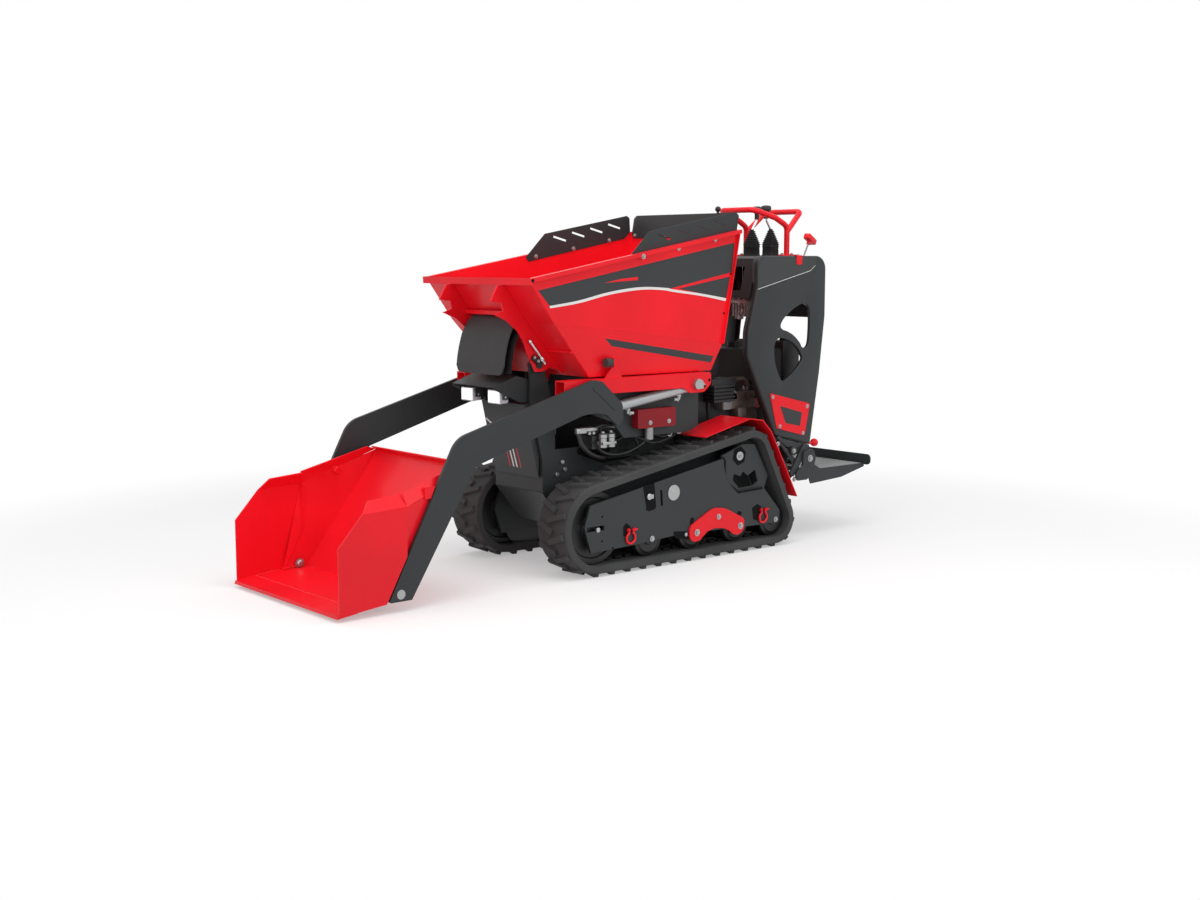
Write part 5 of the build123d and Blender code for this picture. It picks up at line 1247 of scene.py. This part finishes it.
bmesh.ops.translate(wing, verts=wing.verts, vec=rod_head + lean * WING_RISE)
spin_form(wing, WING_SOCKET, rod_head - lean * 3, lean, 20)
wing_piece = make_piece("latch_wing_knob", wing, red_coat)
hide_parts("latch_knob")


# Rear bracket: crossed flat bars of 9 mm plate between the tub and the column, with a hinge plate
# a side for the platform, cross tubes, plated bolts and a red pull knob.
BAR_FRONT = [(-886, 452, 4), (-926, 424, 4), (-1012, 352, 10), (-994, 332, 10)]
BAR_REAR = [(-1044, 432, 6), (-1085, 418, 6), (-976, 278, 10), (-953, 299, 10)]
HINGE_PLATE = [(-1036, 396, 16), (-1102, 402, 20), (-1118, 360, 24), (-1100, 300, 14), (-1060, 262, 12),
               (-990, 262, 14), (-985, 300, 14), (-1030, 330, 20)]
TOP_FLANGE = [(-870, 470, 3), (-890, 476, 3), (-950, 440, 3), (-1044, 424, 3), (-1042, 410, 3),
              (-946, 420, 3)]
TUB_FOOT = [(-850, 474, 6), (-902, 474, 10), (-902, 400, 20), (-966, 320, 12), (-976, 262, 10),
            (-940, 216, 14), (-850, 216, 6)]
BRACKET_BOLTS = ((-978, 401, 6, 9.2), (-1024, 321, 6, 9.2), (-981, 270, 7, 9.2), (-880, 440, 6, 0))
BRACKET_Y, BAR_SHEET = 280, 9
BRACKET_PLATES = ((TUB_FOOT, -20, 10), (BAR_FRONT, -9, BAR_SHEET), (BAR_REAR, 0.2, BAR_SHEET),
                  (HINGE_PLATE, 9.4, BAR_SHEET), (TOP_FLANGE, -30, 30))
CROSS_TUBES = ((-1003, 343, 13), (-966, 290, 15), (-890, 440, 12))
CROSS_PLATE = ((-964, 0, 352), (-955, 268, 436))
PIVOT_TUBE, PIVOT_TUBE_X, PIVOT_TUBE_Z = [(21, -36), (21, 0)], -978, 401
KNOB = [(0, -19), (10, -16), (17, -9), (19, 0), (17, 9), (10, 16), (0, 19)]
KNOB_AT, KNOB_STEM, KNOB_STEM_AT = (-1128, 276, 427), [(6, 0), (6, 34)], (-1120, 276, 427)
for side, sign in SIDES:
    outward = (0, sign, 0)
    bars = bmesh.new()
    for outline, offset, thickness in BRACKET_PLATES:
        add_plate(bars, bent_outline(outline), sign * (BRACKET_Y + offset), sign, thickness)
    for x, z, radius in CROSS_TUBES:
        spin_form(bars, [(radius, 0), (radius, BRACKET_Y)], (x, 0, z), outward, 24)
    spin_form(bars, PIVOT_TUBE, (PIVOT_TUBE_X, sign * (BRACKET_Y + BAR_SHEET), PIVOT_TUBE_Z), outward, 28)
    add_box(bars, *mirrored(*CROSS_PLATE, sign), 2)
    bracket_piece = make_piece(f"rear_cross_bars_{side}", bars, dark_coat)
    if sign > 0:
        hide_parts("rear_bracket")
    bolts = bmesh.new()
    for x, z, size, lift in BRACKET_BOLTS:
        add_bolt(bolts, (x, sign * (BRACKET_Y + lift), z), outward, size)
    make_plated(f"rear_bracket_bolts_{side}", bolts)
knob = bmesh.new()
spin_form(knob, KNOB, KNOB_AT, (0, 0, 1), 28)
spin_form(knob, KNOB_STEM, KNOB_STEM_AT, (1, 0, 0), 18)
make_piece("platform_pull_knob", knob, red_coat)


# Operator platform: folded charcoal tray with a galvanised grip mesh let into its deck; it folds up
# on two big pivot bolts.
dress(["platform"], dark_coat, edge=1)
mesh_zinc = coat("galvanised_mesh", (0.46, 0.47, 0.47), 0.5, metal=0.6, peel=0.4, grain=160, shade=0.15)
MESH_X0, MESH_X1, MESH_HALF, MESH_Z = -1446, -1150, 288, 302.2
CROSS_BARS, LONG_BARS, CROSS_BAR_HALF, CROSS_BAR_HIGH, LONG_BAR_HALF = 25, 37, 2.4, 3.2, 1.8
PIVOT_X, PIVOT_Z, EAR_Z = -1078, 359, 378
PIVOT_WASHER, WASHER_TOP = [(17, 0), (17, 2), (15, 2.6), (0, 2.6)], 2.6
grip_mesh = bmesh.new()
for i in range(CROSS_BARS):
    x = MESH_X0 + (MESH_X1 - MESH_X0) * i / (CROSS_BARS - 1)
    add_box(grip_mesh, (x - CROSS_BAR_HALF, -MESH_HALF, MESH_Z),
            (x + CROSS_BAR_HALF, MESH_HALF, MESH_Z + CROSS_BAR_HIGH), 0.8)
for i in range(LONG_BARS):
    y = -MESH_HALF + 2 * MESH_HALF * i / (LONG_BARS - 1)
    add_box(grip_mesh, (MESH_X0, y - LONG_BAR_HALF, MESH_Z),
            (MESH_X1, y + LONG_BAR_HALF, MESH_Z + LONG_BAR_HALF), 0.6)
make_piece("platform_mesh", grip_mesh, mesh_zinc, "platform")
pivots = bmesh.new()
for sign in (1, -1):
    hit = land_beside("platform", PIVOT_X, EAR_Z, sign)
    hit.z = PIVOT_Z
    spin_form(pivots, PIVOT_WASHER, hit, (0, sign, 0), 32)
    add_bolt(pivots, hit + Vector((0, sign * WASHER_TOP, 0)), (0, sign, 0), 9)
make_plated("platform_pivot_bolts", pivots, "platform")
